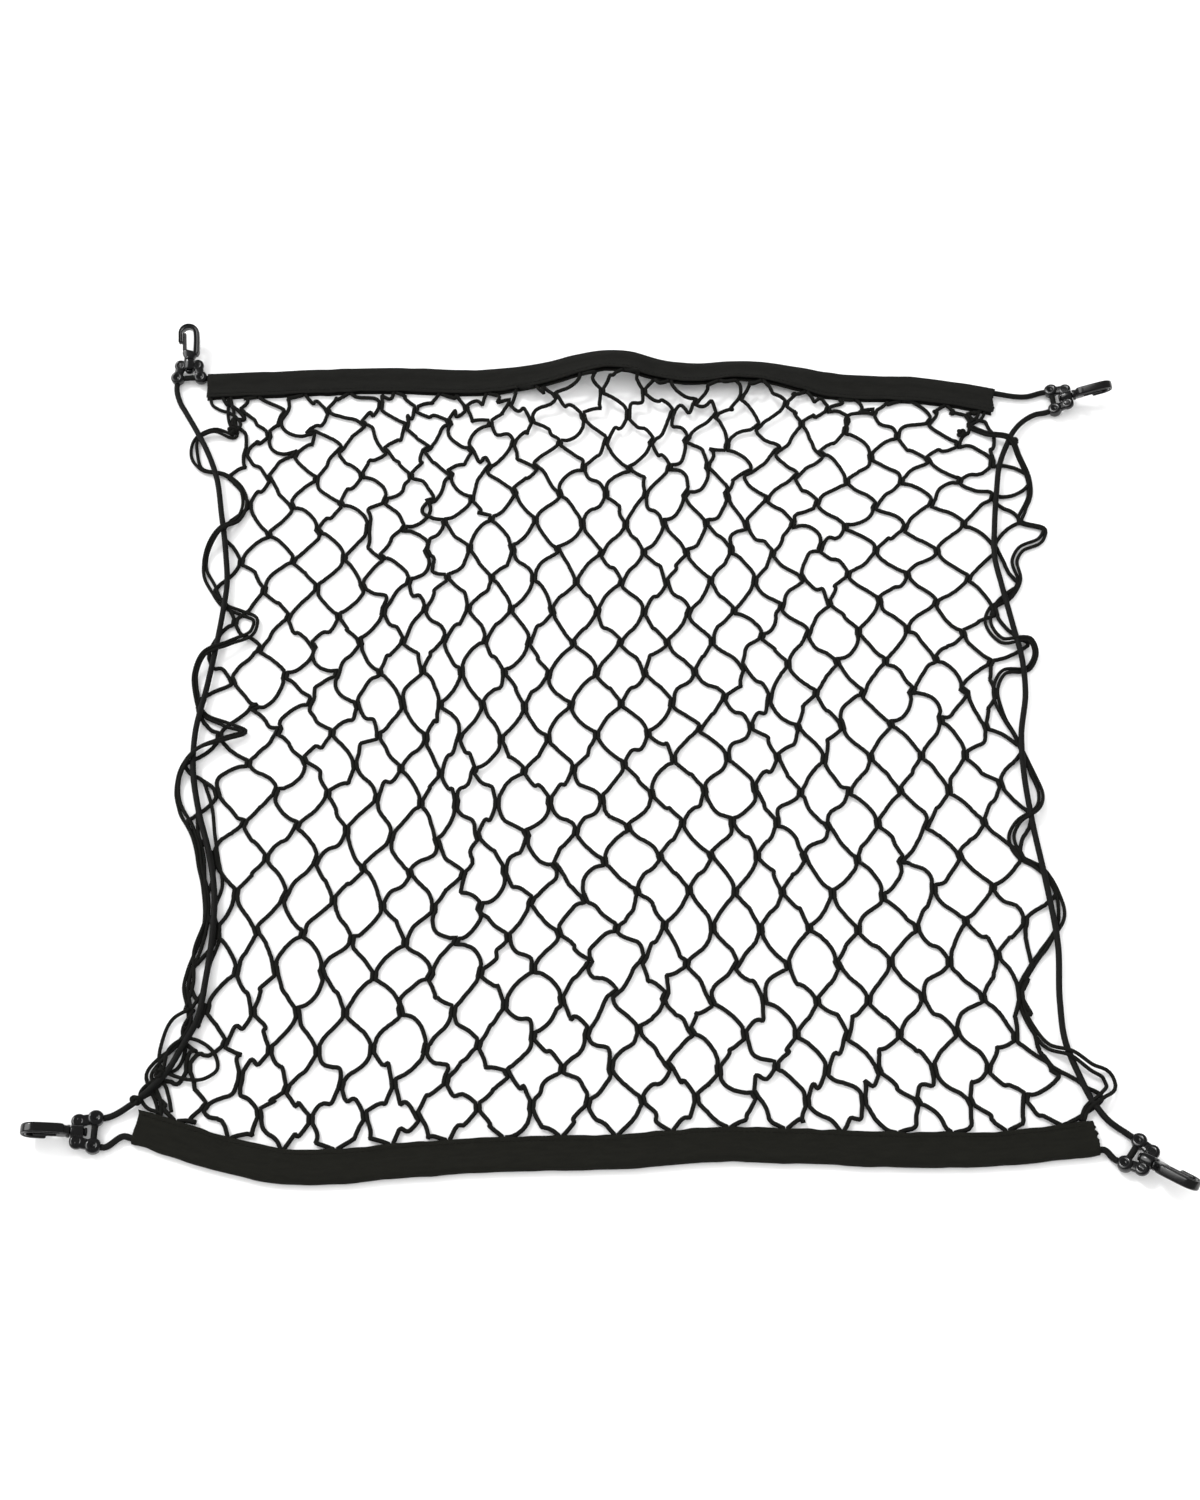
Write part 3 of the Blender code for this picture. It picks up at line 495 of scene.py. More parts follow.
def braided_elastic():
    """Rubber threads under a braided polyester cover."""
    # Gives the eye a smooth round cord, a little shinier than the yarn, with slanting strands.
    look, tree, shader = new_look("braided_elastic", "131312", 0.7, Specular_IOR_Level=0.1)
    place = add(tree, "ShaderNodeUVMap", uv_map="along")
    fit = add(tree, "ShaderNodeMapping", [(place, "UV", "Vector")], Scale=BRAID)
    braid = add(tree, "ShaderNodeTexWave", [(fit, "Vector", "Vector")], Scale=1.0,
                bands_direction="DIAGONAL")
    bump = add(tree, "ShaderNodeBump", [(braid, "Fac", "Height")], Strength=0.4,
               Distance=0.0003)
    tree.links.new(bump.outputs["Normal"], shader.inputs["Normal"])
    return look


def moulded_nylon():
    """Black nylon, injection moulded."""
    # Gives the eye deep black faces with narrow bright edges, and a faint grain of the mould.
    look, tree, shader = new_look("moulded_nylon", "0A0A0B", 0.2, Specular_IOR_Level=0.4)
    place = add(tree, "ShaderNodeTexCoord")
    grain = add(tree, "ShaderNodeTexNoise", [(place, "Object", "Vector")], Scale=GRAIN)
    bump = add(tree, "ShaderNodeBump", [(grain, "Fac", "Height")], Strength=0.08,
               Distance=0.0002)
    tree.links.new(bump.outputs["Normal"], shader.inputs["Normal"])
    return look


# ---------------------------------------------------------------- bands

def band_points(rows, fold_side, x, s, h):
    """World points of a band: s across towards the fold and h up, at each x (arrays)."""
    x, s, h = np.broadcast_arrays(np.asarray(x, float), s, h)
    flat = x.ravel()
    here = smooth_rows(rows, flat)
    slope = smooth_rows(rows, flat + 0.5)[:, 0] - smooth_rows(rows, flat - 0.5)[:, 0]
    run = unit(np.stack((np.ones_like(slope), slope, 0 * slope), -1))
    outward = np.stack((-run[:, 1], run[:, 0], 0 * slope), -1) * fold_side
    lift = np.maximum(here[:, 1], 0)
    tilt = np.radians(np.maximum(here[:, 2], 0))[:, None]
    up_world = np.array((0.0, 0.0, 1.0))
    across = outward * np.cos(tilt) - up_world * np.sin(tilt)
    up = outward * np.sin(tilt) + up_world * np.cos(tilt)
    middle = np.stack((flat, here[:, 0], lift + BAND_HALF * np.sin(tilt[:, 0])), -1)
    place = middle + across * s.ravel()[:, None] + up * h.ravel()[:, None]
    return place.reshape(*x.shape, 3)


def band_profile():
    """Mid line of the cloth across a band as (s, h).

    A flat under layer, half a circle round the elastic, and an upper layer that comes down
    from the fold on a logistic curve."""
    upper = SLOT + CLOTH * 1.5
    under = [(s, CLOTH / 2) for s in np.linspace(-BAND_HALF, FOLD_S, 9)[:-1]]
    turns = np.radians(np.linspace(-90, 90, 9))
    fold = [(FOLD_S + FOLD_R * math.cos(a), FOLD_H + FOLD_R * math.sin(a)) for a in turns]
    reach = np.linspace(FOLD_S, -BAND_HALF, 14)[1:]
    drop = FOLD_H + FOLD_R - upper
    over = [(s, upper + drop / (1 + math.exp(-(s - DROP_S) * DROP_STEEP))) for s in reach]
    return np.array(under + fold + over)


def make_band(name, rows, fold_side, look, rng, cut):
    """A band: its profile given a thickness, carried along x, with soft puckers.

    A section's points are the profile moved half the cloth's thickness to each side. The
    upper layer and the edges move by smooth random amounts along the band, and the ends
    are cut at a slant."""
    mid = band_profile()
    run = unit(np.gradient(mid, axis=0))
    off = np.stack((run[:, 1], -run[:, 0]), -1) * CLOTH / 2
    section = np.concatenate((mid + off, (mid - off)[::-1]))
    layer = np.concatenate((np.arange(len(mid)), np.arange(len(mid))[::-1]))
    # 0 on the under layer and most of the fold, 1 on the upper layer.
    upper = np.clip((layer - 14) / 6.0, 0, 1)
    x0, x1 = rows[0][0], rows[-1][0]
    stations = np.linspace(x0, x1, int((x1 - x0) / BAND_STATION))
    from_start = stations - x0
    share = from_start / (x1 - x0)
    s = np.broadcast_to(section[:, 0], (len(stations), len(section))).copy()
    h = np.broadcast_to(section[:, 1], s.shape).copy()
    edge = np.clip(-s / BAND_HALF, 0, 1) ** 3
    s += edge * wander(rng, from_start, *EDGE_WAVE)[:, None]
    s += np.clip(s / BAND_HALF, 0, 1) ** 3 * wander(rng, from_start, *FOLD_WAVE)[:, None]
    pucker = wander(rng, from_start, *PUCKER)[:, None] * np.sin(s * 0.5 + 1)
    swell = np.maximum(wander(rng, from_start, *SWELL)[:, None], SWELL_LEAST)
    h += upper * (pucker + swell) * np.clip((s + BAND_HALF) / 6, 0.25, 1)
    fade = (1 - share[:, None]) ** CUT_FADE, share[:, None] ** CUT_FADE
    ends = fade[0] * cut[0] - fade[1] * cut[1]
    fray = rng.normal(0, FRAY, len(mid))[layer] * share[:, None] ** FRAY_FADE
    x = stations[:, None] + ends * (s + BAND_HALF) / (2 * BAND_HALF) + fray
    points = band_points(rows, fold_side, x, s, h)
    count, around = s.shape
    index = np.arange(count * around).reshape(count, around)
    ahead = np.roll(index, -1, axis=1)
    quads = np.stack((index[:-1], ahead[:-1], ahead[1:], index[1:]), -1).reshape(-1, 4)
    half = len(mid)
    caps = []
    for row, order in ((index[0], 1), (index[-1], -1)):
        strip = [(row[i], row[2 * half - 1 - i], row[2 * half - 2 - i], row[i + 1])
                 for i in range(half - 1)]
        caps += [face[::order] for face in strip]
    if fold_side < 0:
        quads, caps = quads[:, ::-1], [face[::-1] for face in caps]
    reach = np.concatenate(([0], np.cumsum(np.linalg.norm(np.diff(section, axis=0), axis=1))))
    v = np.concatenate((reach, [reach[-1] + CLOTH]))
    corner_v = np.stack((v[:-1], v[1:], v[1:], v[:-1]), -1)
    corner_u = np.stack((stations[:-1], stations[:-1], stations[1:], stations[1:]), -1)
    uv = np.stack(np.broadcast_arrays(corner_u[:, None], corner_v[None]), -1)
    if fold_side < 0:
        uv = uv[:, :, ::-1]
    band = mesh_piece(name, points.reshape(-1, 3), quads.tolist() + caps, look,
                      uv.reshape(-1, 2))
    # The seam runs along the highest point of the section near the net's ends.
    top = np.argmax(section[:, 1] - 9 * np.abs(section[:, 0] - EDGE_S))
    return band, seam(name.replace("band_tape", "seam_thread"), points[:, top], look, rng)


def seam(name, line, look, rng):
    """A row of stitches along a line on a band: each a short thread risen in its middle."""
    steps = np.linalg.norm(np.diff(line, axis=0), axis=1)
    along = np.concatenate(([0.0], np.cumsum(steps)))
    first = np.arange(SEAM_END, along[-1] - STITCH - SEAM_END, STITCH_STEP)
    first = first + rng.normal(0, STITCH_STRAY, first.shape)
    t = np.linspace(0, 1, STITCH_POINTS)
    at = first[:, None] + t * STITCH
    paths = np.stack([np.interp(at, along, line[:, i]) for i in range(3)], -1)
    paths[..., 2] += STITCH_RISE * np.sin(np.pi * t) - STITCH_SUNK
    points, faces, uv = joined([tube_arrays(paths, STITCH_R, STITCH_SIDES)])
    return mesh_piece(name, points, faces, look, uv)


# ---------------------------------------------------------------- net

def row_levels():
    """Depth of each row, 0 to 1: the rows near the bands lie closer together."""
    step = np.interp(np.arange(ROWS), *np.transpose(ROW_STEPS))
    total = np.concatenate(([0], np.cumsum(step)))
    return total / total[-1]


def selvedge_at(route, y):
    """The points where a selvedge's route passes each y, on its first way past."""
    dense = smooth_route(route, 1.0)
    near = np.argmin(np.abs(dense[None, :, 1] - np.asarray(y)[:, None]), axis=1)
    return dense[near]


def turned(way, angle):
    """Directions turned about the vertical by an angle."""
    c, s = np.cos(angle), np.sin(angle)
    return np.stack((way[..., 0] * c - way[..., 1] * s, way[..., 0] * s + way[..., 1] * c,
                     way[..., 2]), -1)


def band_mouths(column):
    """Where each column leaves the top band and reaches the bottom one, and its x on both."""
    share = column / (CORDS - 1)
    x_top = TOP_LINE[0] + share * (TOP_LINE[1] - TOP_LINE[0])
    x_low = LOW_LINE[0] + share * (LOW_LINE[1] - LOW_LINE[0])
    top = band_points(BAND_TOP, 1, x_top, MOUTH_S, MOUTH_H)
    low = band_points(BAND_BOTTOM, -1, x_low, MOUTH_S, MOUTH_H)
    return x_top, x_low, top, low


def hill(away, size, reach):
    """A Gaussian hill of a size that has fallen to 37 % of it at its reach."""
    return size * np.exp(-(away / reach) ** 2)


def snarl(x, y):
    """How much more the net strays at a place: 1, and a Gaussian hill round each snarl."""
    away = np.hypot(x[..., None] - SNARLS[:, 0], y[..., None] - SNARLS[:, 1])
    return 1 + hill(away, SNARLS[:, 3], SNARLS[:, 2]).sum(-1)


def net_joints(rng):
    """Middle, run, half length and side of every joint, for cords k and k + 1 at each row.

    A joint's place is read across its row on straight lines between the columns of PLACES,
    then down its column on a cubic curve through the bands and the rows of PLACES. Random
    strays, larger in the crumpled rows beside the bands, leave it uneven."""
    k, row = np.meshgrid(np.arange(-1, CORDS), np.arange(ROWS + 1), indexing="ij")
    column = np.clip(k[:, 0] + 0.5, 0, CORDS - 1)
    x_top, x_low, top, low = band_mouths(column)
    at = (column - 0.5) / PLACE_STEP
    i = np.clip(at.astype(int), 0, len(PLACES[0][1]) - 2)
    t = (at - i)[:, None]
    read = np.array([places for _, places in PLACES], float)
    read = read[:, i] * (1 - t) + read[:, i + 1] * t
    level = row_levels()
    known = level[[0, *[r for r, _ in PLACES], ROWS]]
    rows = np.concatenate((top[None, :, :2], read, low[None, :, :2])).reshape(len(known), -1)
    grid = smooth_rows(np.column_stack((known, rows)), level).reshape(ROWS + 1, -1, 2)
    x, y = np.transpose(grid, (2, 1, 0))
    level = level[row]
    z = REST_Z + np.maximum(top[:, None, 2] - MOUTH_H, 0) * np.exp(-level / ARCH_FADE)
    # Nothing strays at the bands, and the first row from them by half.
    inner = np.clip(np.minimum(row, ROWS - row) / 2.0, 0, 1)
    crumple = 1 + hill(row, *JOINTS_TOP) + hill(ROWS - row, *JOINTS_LOW)
    crumple = crumple * snarl(x, y)
    x = x + rng.normal(0, STRAY, x.shape) * inner * crumple
    y = y + rng.normal(0, STRAY, y.shape) * inner * crumple
    z = z + np.clip(rng.normal(0, LIFT, z.shape), 0, LIFT_MOST) * inner
    middle = np.stack((x, y, z), -1)
    for side, route in ((0, LEFT_SELVEDGE), (-1, RIGHT_SELVEDGE)):
        rows = slice(1, ROWS)
        middle[side, rows] = selvedge_at(route, y[side, rows])
        middle[side, rows, 2] = np.minimum(middle[side, rows, 2], SELVEDGE_JOINT_MOST)
    below = np.zeros_like(middle)
    below[:, :-1] += np.roll(middle, 1, axis=0)[:, 1:] + np.roll(middle, -1, axis=0)[:, 1:]
    below[:, 1:] -= np.roll(middle, 1, axis=0)[:, :-1] + np.roll(middle, -1, axis=0)[:, :-1]
    spin = rng.normal(0, JOINT_TURN, x.shape) * inner * crumple
    run = turned(unit(below * (1, 1, 0)), spin)
    half = np.full(x.shape, JOINT_HALF)
    side = np.full(x.shape, JOINT_SIDE)
    for edge in (0, -1):
        run[edge] = (0, -1, 0)
        half[edge] = SELVEDGE_HALF
        side[edge] = 0.0
    for end, rows, fold, line in ((0, BAND_TOP, 1, x_top), (ROWS, BAND_BOTTOM, -1, x_low)):
        inside = band_points(rows, fold, line, EDGE_S, MOUTH_H)
        mouth = top if end == 0 else low
        middle[:, end] = (inside + mouth) / 2
        run[:, end] = unit((mouth - inside) * (1 if end == 0 else -1))
        half[:, end] = abs(EDGE_S - MOUTH_S) / 2
    return middle, run, half, side


def settle(middle, run, half):
    """Draw joints together where a leg would be longer than its cord, a little at a time.

    In each round a leg whose span is past its bounds moves both its joints by a share of the
    rest, along itself."""
    k, row = np.meshgrid(np.arange(-1, CORDS), np.arange(ROWS + 1), indexing="ij")
    free = ((k >= 0) & (k < CORDS - 1) & (row > 0) & (row < ROWS))[..., None]
    for _ in range(SETTLE_ROUNDS):
        shift = np.zeros_like(middle)
        for step in (-1, 1):
            a = slice(1, None) if step < 0 else slice(0, -1)
            b = slice(0, -1) if step < 0 else slice(1, None)
            start = middle[a, :-1] + run[a, :-1] * half[a, :-1, None]
            end = middle[b, 1:] - run[b, 1:] * half[b, 1:, None]
            gap = end - start
            length = np.linalg.norm(gap, axis=-1, keepdims=True)
            over = (np.clip(length - SETTLE_SPAN[1] * LEG, 0, None)
                    - np.clip(SETTLE_SPAN[0] * LEG - length, 0, None))
            valid = ((k[a, :-1] + row[a, :-1]) % 2 == 1)[..., None]
            move = gap / np.maximum(length, 1e-6) * over * SETTLE_SHARE * valid
            shift[a, :-1] += move
            shift[b, 1:] -= move
        middle = middle + shift * free
    return middle


def leg_curves(start, start_run, end, end_run, length, bow, sway, kink, kink_at):
    """Points on each leg: a Hermite curve that leaves and meets its joints along their run.

    The tangents' scale is halved upon until the curve is as long as its cord. A sine bow,
    a whole sine wave and a Gaussian kink stand off it sideways."""
    t = np.linspace(0, 1, LEG_POINTS)[:, None]
    h = ((1 + 2 * t) * (1 - t) ** 2, t * (1 - t) ** 2, t * t * (3 - 2 * t), t * t * (t - 1))
    low = np.full(start.shape[:-1], TANGENTS[0])
    high = np.full(start.shape[:-1], TANGENTS[1])
    chord = unit((end - start) * (1, 1, 0))
    beside = np.stack((-chord[..., 1], chord[..., 0], 0 * chord[..., 0]), -1)[..., None, :]
    bend = hill(t - kink_at[..., None, None], 1, KINK_WIDTH) * (1 - (2 * t - 1) ** 4)
    stand = bend * kink[..., None, None] + np.sin(2 * np.pi * t) * sway[..., None, None]
    for _ in range(HALVINGS):
        scale = ((low + high) / 2)[..., None, None]
        curve = (h[0] * start[..., None, :] + h[1] * start_run[..., None, :] * scale
                 + h[2] * end[..., None, :] + h[3] * end_run[..., None, :] * scale)
        curve = curve + beside * (np.sin(np.pi * t) * bow[..., None, None] + stand)
        size = np.linalg.norm(np.diff(curve, axis=-2), axis=-1).sum(-1)
        short = size < length
        low = np.where(short, scale[..., 0, 0], low)
        high = np.where(short, high, scale[..., 0, 0])
    return curve


def net_paths(rng):
    """The middle line of every cord, from the top band to the bottom one.

    A cord lies beside its left and its right neighbour in turn, a joint's side off the
    joint's middle. Between joints it has its own length, so that it bows where it is slack."""
    middle, run, half, side = net_joints(rng)
    middle = settle(middle, run, half)
    cord, row = np.meshgrid(np.arange(CORDS), np.arange(ROWS + 1), indexing="ij")
    left = (cord + row) % 2 == 1
    joint = np.where(left, cord, cord - 1) + 1
    hand = np.where(left, 1, -1)
    centre = middle[joint, row]
    way = run[joint, row]
    off = np.stack((way[..., 1], -way[..., 0], 0 * way[..., 0]), -1)
    centre = centre + off * (hand * side[joint, row])[..., None]
    reach = half[joint, row][..., None]
    head, foot = centre - way * reach, centre + way * reach
    shape = (CORDS, ROWS)
    # At a band the cords of a joint come from two sides, so that they lie along its edge.
    slant = rng.uniform(*EDGE_SLANT, (2, CORDS))
    leave, arrive = way[:, :-1].copy(), way[:, 1:].copy()
    leave[:, 0] = turned(leave[:, 0], -hand[:, 0] * slant[0])
    arrive[:, -1] = turned(arrive[:, -1], hand[:, -1] * slant[1])
    chord = head[:, 1:] - foot[:, :-1]
    blend = np.full((*shape, 1), TURN_IN)
    blend[:, 0] = TURN_IN_EDGE
    leave = unit(leave * (1 - blend) + unit(chord) * blend)
    blend[:, 0] = TURN_IN
    blend[:, -1] = TURN_IN_EDGE
    arrive = unit(arrive * (1 - blend) + unit(chord) * blend)
    tangle = snarl(foot[:, :-1, 0], foot[:, :-1, 1])
    leave = turned(leave, rng.normal(0, LEG_TURN, shape) * tangle)
    arrive = turned(arrive, rng.normal(0, LEG_TURN, shape) * tangle)
    chord = np.linalg.norm(chord, axis=-1)
    length = np.maximum(LEG + rng.normal(0, LEG_STRAY, shape), chord * LEG_SPAN[0])
    length = np.minimum(length, chord * LEG_SPAN[1])
    crumple = (1 + hill(row[:, :-1], *LEGS_TOP)) * tangle
    crumple = crumple + hill(ROWS - 1 - row[:, :-1], *LEGS_LOW)
    bow = rng.normal(0, BOW, shape) * crumple
    sharp = rng.choice((-1, 1), shape) * SHARP_KINK * (rng.random(shape) < SHARP_SHARE)
    kink = rng.normal(0, KINK, shape) + sharp
    kink_at = np.where(rng.random(shape) < 0.5, *KINK_AT)
    kink_at = kink_at + rng.normal(0, KINK_AT_STRAY, shape)
    slack = np.clip(length / chord - SLACK[0], 0, SLACK[1])
    sway = rng.choice((-1, 1), shape) * (SWAY[0] + SWAY[1] * slack)
    sway = sway * rng.uniform(0.4, 1.0, shape)
    kink = np.clip(kink * crumple, -KINK_MOST, KINK_MOST)
    legs = leg_curves(foot[:, :-1], leave, head[:, 1:], arrive, length, bow, sway, kink, kink_at)
    legs = legs + rng.normal(0, NOISE, legs.shape) * (1, 1, 0.3)
    legs[..., 0, :], legs[..., -1, :] = foot[:, :-1], head[:, 1:]
    body = np.concatenate((centre[:, :-1, None], legs), axis=2).reshape(CORDS, -1, 3)
    path = np.concatenate((head[:, :1], body, centre[:, -1:], foot[:, -1:]), axis=1)
    path[..., 2] = np.maximum(path[..., 2], REST_Z)
    return path


def selvedge_paths(rng):
    """Two cords side by side along each selvedge, turning slowly about each other.

    Each stands off the middle line sideways by the cosine of a smooth random roll, and up by
    its sine."""
    paths = []
    for route in (LEFT_SELVEDGE, RIGHT_SELVEDGE):
        dense = smooth_route(route, SELVEDGE_STEP)
        run = unit(np.gradient(dense, axis=0))
        beside = unit(np.cross(run, (0.0, 0.0, 1.0)))
        along = np.arange(len(dense)) * SELVEDGE_STEP
        spread = SELVEDGE_APART + np.maximum(wander(rng, along, *SELVEDGE_SPREAD), 0)
        roll = wander(rng, along, *SELVEDGE_ROLL)
        for hand in (1, -1):
            path = dense + beside * (hand * spread * np.cos(roll))[:, None]
            path[:, 2] += hand * SELVEDGE_APART * np.sin(roll)
            path[:, 2] = np.maximum(path[:, 2], SELVEDGE_R + FLOOR_GAP)
            paths.append(path)
    return paths


def knot_path(place, roll):
    """A trefoil drawn small: two turns round the knot's middle, three times in and out."""
    turn = np.linspace(0, 2 * np.pi, 49) + roll
    reach = KNOT_R + KNOT_SWING * np.cos(3 * turn)
    return np.stack((place[0] + reach * np.cos(2 * turn), place[1] + reach * np.sin(2 * turn),
                     place[2] + KNOT_RISE * np.sin(3 * turn)), -1)


def make_net(look):
    """The cords of the net as tubes in one mesh, and those of its selvedges in another."""
    rng = np.random.default_rng(SEED)
    points, faces, uv = joined([tube_arrays(net_paths(rng), CORD_R, CORD_SIDES)])
    net = mesh_piece("net_cords", points, faces, look, uv)
    loose = [smooth_route(route, STRAY_STEP) for route in STRAYS]
    knots = [knot_path(place, i) for i, place in enumerate(KNOTS)]
    twins = [tube_arrays(path[None], SELVEDGE_R, SELVEDGE_SIDES)
             for path in (*selvedge_paths(rng), *loose, *knots)]
    points, faces, uv = joined(twins)
    return net, mesh_piece("selvedge_cords", points, faces, look, uv)


# ---------------------------------------------------------------- elastic

def hook_frame(x, y, z, heading, pitch, turn=0.0):
    """Frame of a swivel: x along it, raised by pitch, and turned about itself."""
    return (Matrix.Translation((x, y, z)) @ Matrix.Rotation(math.radians(heading), 4, "Z")
            @ Matrix.Rotation(-math.radians(pitch), 4, "Y")
            @ Matrix.Rotation(-math.radians(turn), 4, "X"))


def placed(matrix, points):
    """Points moved by a frame."""
    m = np.array(matrix)
    return np.asarray(points, float) @ m[:3, :3].T + m[:3, 3]


def arc(centre, radius, start, end, steps):
    """Points on an arc, from one angle in degrees to another."""
    turns = np.radians(np.linspace(start, end, steps + 1))
    return [(centre[0] + radius * math.cos(a), centre[1] + radius * math.sin(a))
            for a in turns]


def ear_route(matrix, first_side, from_side=False):
    """Route through a base: in at one ear, along its back and out at the other."""
    turn = arc((LEAVE[0], LEAVE[1] - TURN_R), TURN_R, 90, 0, 4)
    way_in = [(x, y * first_side) for x, y in turn]
    way_out = [(x, -y * first_side) for x, y in reversed(turn)]
    # From its side, the elastic goes through the ear's middle and out towards the hub.
    if from_side:
        way_in = [(EAR[0] + 0.1, 10.5 * first_side), (EAR[0], 5.0 * first_side)]
    local = [(*place, 0) for place in (*way_in, (EAR[0] + 0.1, 0), *way_out)]
    return [tuple(place) for place in placed(matrix, local)]


def channel_run(rows, fold_side, end):
    """Middle of a band's fold at one end: from inside the band to a little outside it."""
    inward = 1 if end == rows[0][0] else -1
    at = [end + inward * step for step in (ELASTIC_IN, 7, 1)]
    run = list(band_points(rows, fold_side, at, FOLD_S, FOLD_H))
    run.append(run[2] + unit(run[2] - run[1]) * LEAD)
    return [tuple(place) for place in run]


def elastic_routes():
    """The two stretches outside the bands, from a top band end to a bottom one."""
    frames = {name: hook_frame(x, y, z, heading, pitch)
              for name, x, y, z, heading, pitch, _ in HOOKS}
    top_left = channel_run(BAND_TOP, 1, BAND_TOP[0][0])
    top_right = channel_run(BAND_TOP, 1, BAND_TOP[-1][0])
    low_left = channel_run(BAND_BOTTOM, -1, BAND_BOTTOM[0][0])
    low_right = channel_run(BAND_BOTTOM, -1, BAND_BOTTOM[-1][0])
    left = [*top_left, *ear_route(frames["top_left"], -1, True), *LEFT_RUN,
            *ear_route(frames["bottom_left"], -1), *reversed(low_left)]
    right = [*top_right, TOP_RIGHT_TURN, *ear_route(frames["top_right"], 1), *RIGHT_RUN,
             *ear_route(frames["bottom_right"], 1), *reversed(low_right)]
    return {"left": left, "right": right}


def make_elastic(side, route, look):
    """One stretch of elastic: a tube along its route; returns the piece and its path."""
    path = smooth_route(route, ELASTIC_STEP)
    points, faces, uv = joined([tube_arrays(path[None], ELASTIC_R, ELASTIC_SIDES)])
    return mesh_piece("elastic_cord_" + side, points, faces, look, uv), path * MM


# ---------------------------------------------------------------- hooks and bases

def facing_out(points, quads, fans):
    """A closed shell as points and faces, turned inside out if its volume is negative."""
    a, b, c, d = (points[quads[:, i]] for i in range(4))
    volume = np.sum(a * np.cross(b, c)) + np.sum(a * np.cross(c, d))
    if len(fans):
        e, f, g = (points[fans[:, i]] for i in range(3))
        volume += np.sum(e * np.cross(f, g))
    if volume < 0:
        return points, quads[:, ::-1], fans[:, ::-1]
    return points, quads, fans


def shell(rings, closed=False):
    """Rings of points (count, around, 3) joined by quads, with ends filled or met."""
    count, around = rings.shape[:2]
    index = np.arange(count * around).reshape(count, around)
    ahead = np.roll(index, -1, axis=1)
    if closed:
        low, high, low_ahead, high_ahead = (index, np.roll(index, -1, axis=0), ahead,
                                            np.roll(ahead, -1, axis=0))
    else:
        low, high, low_ahead, high_ahead = index[:-1], index[1:], ahead[:-1], ahead[1:]
    quads = np.stack((low, low_ahead, high_ahead, high), -1).reshape(-1, 4)
    points = rings.reshape(-1, 3)
    fans = np.zeros((0, 3), int)
    if not closed:
        tops = np.stack((rings[0].mean(axis=0), rings[-1].mean(axis=0)))
        first = np.full(around, len(points))
        fans = np.concatenate((np.stack((first, ahead[0], index[0]), -1),
                               np.stack((first + 1, index[-1], ahead[-1]), -1)))
        points = np.concatenate((points, tops))
    return facing_out(points, quads, fans)


def lathe(profile, axis, centre=(0, 0, 0), closed=False):
    """A profile of (along, radius) turned about X or Z through a centre."""
    profile = np.array(profile, float)
    turn = np.arange(TURNED_SIDES) * 2 * np.pi / TURNED_SIDES
    along = np.broadcast_to(profile[:, :1], (len(profile), TURNED_SIDES))
    one, two = profile[:, 1:] * np.cos(turn), profile[:, 1:] * np.sin(turn)
    order = (along, one, two) if axis == "X" else (one, two, along)
    return shell(np.stack(order, -1) + np.array(centre, float), closed)


def whole_section(quarter):
    """A section mirrored from its quarter on both axes, once round."""
    q = np.array(quarter)
    back = q[::-1]
    return np.concatenate((q, back[1:] * (-1, 1), q[1:] * (-1, -1), back[1:-1] * (1, -1)))


def swept(path, thick, quarter, blunt=0.5):
    """A bar in the XY plane: its section carried along x, y, half width, ends rounded off.

    At each end the section shrinks on a quarter ellipse, as long as a share of its width."""
    path = np.array(path, float)
    run = unit(np.gradient(path[:, :2], axis=0))
    turn = np.radians(END_TURNS)
    grow = np.sin(turn)[:, None]
    first = path[0, :2] - run[0] * path[0, 2] * blunt * grow
    last = path[-1, :2] + run[-1] * path[-1, 2] * blunt * grow[::-1]
    middle = np.concatenate((first, path[:, :2], last))
    rings = len(turn)
    run = np.concatenate((np.tile(run[0], (rings, 1)), run, np.tile(run[-1], (rings, 1))))
    size = np.concatenate((np.cos(turn), np.ones(len(path)), np.cos(turn)[::-1]))
    half = np.concatenate((np.full(rings, path[0, 2]), path[:, 2],
                           np.full(rings, path[-1, 2])))
    deep = min(1.0, blunt * END_DEPTH)
    half = half - half * (1 - size) * deep
    tall = thick * (1 - (1 - size) * deep)
    section = whole_section(quarter)
    side = np.stack((run[:, 1], -run[:, 0]), -1)
    flat = middle[:, None] + side[:, None] * (half[:, None] * section[:, 0])[..., None]
    up = tall[:, None] * section[:, 1]
    return shell(np.concatenate((flat, up[..., None]), -1))


def moulded_piece(name, shells, matrix, look):
    """Shells put together as one piece, moved into place by a frame."""
    points, faces, first = [], [], 0
    for p, quads, fans in shells:
        points.append(p)
        faces += (quads + first).tolist() + (fans + first).tolist()
        first += len(p)
    return mesh_piece(name, placed(matrix, np.concatenate(points)), faces, look)


def knob(centre, radius, half):
    """A round knob about Z: rounded rims and a dimple with a raised ring on both sides."""
    face = ((half - 1.5, 0), (half - 1.45, 0.9), (half - 1.1, 1.5), (half - 0.35, 2.0),
            (half - 0.02, radius - 2.6), (half, radius - 1.9), (half - 0.2, radius - 1.0),
            (half - 0.75, radius - 0.35), (half - 1.5, radius))
    below = [(-z, r) for z, r in reversed(face)]
    return lathe((*face, *below), "Z", centre)


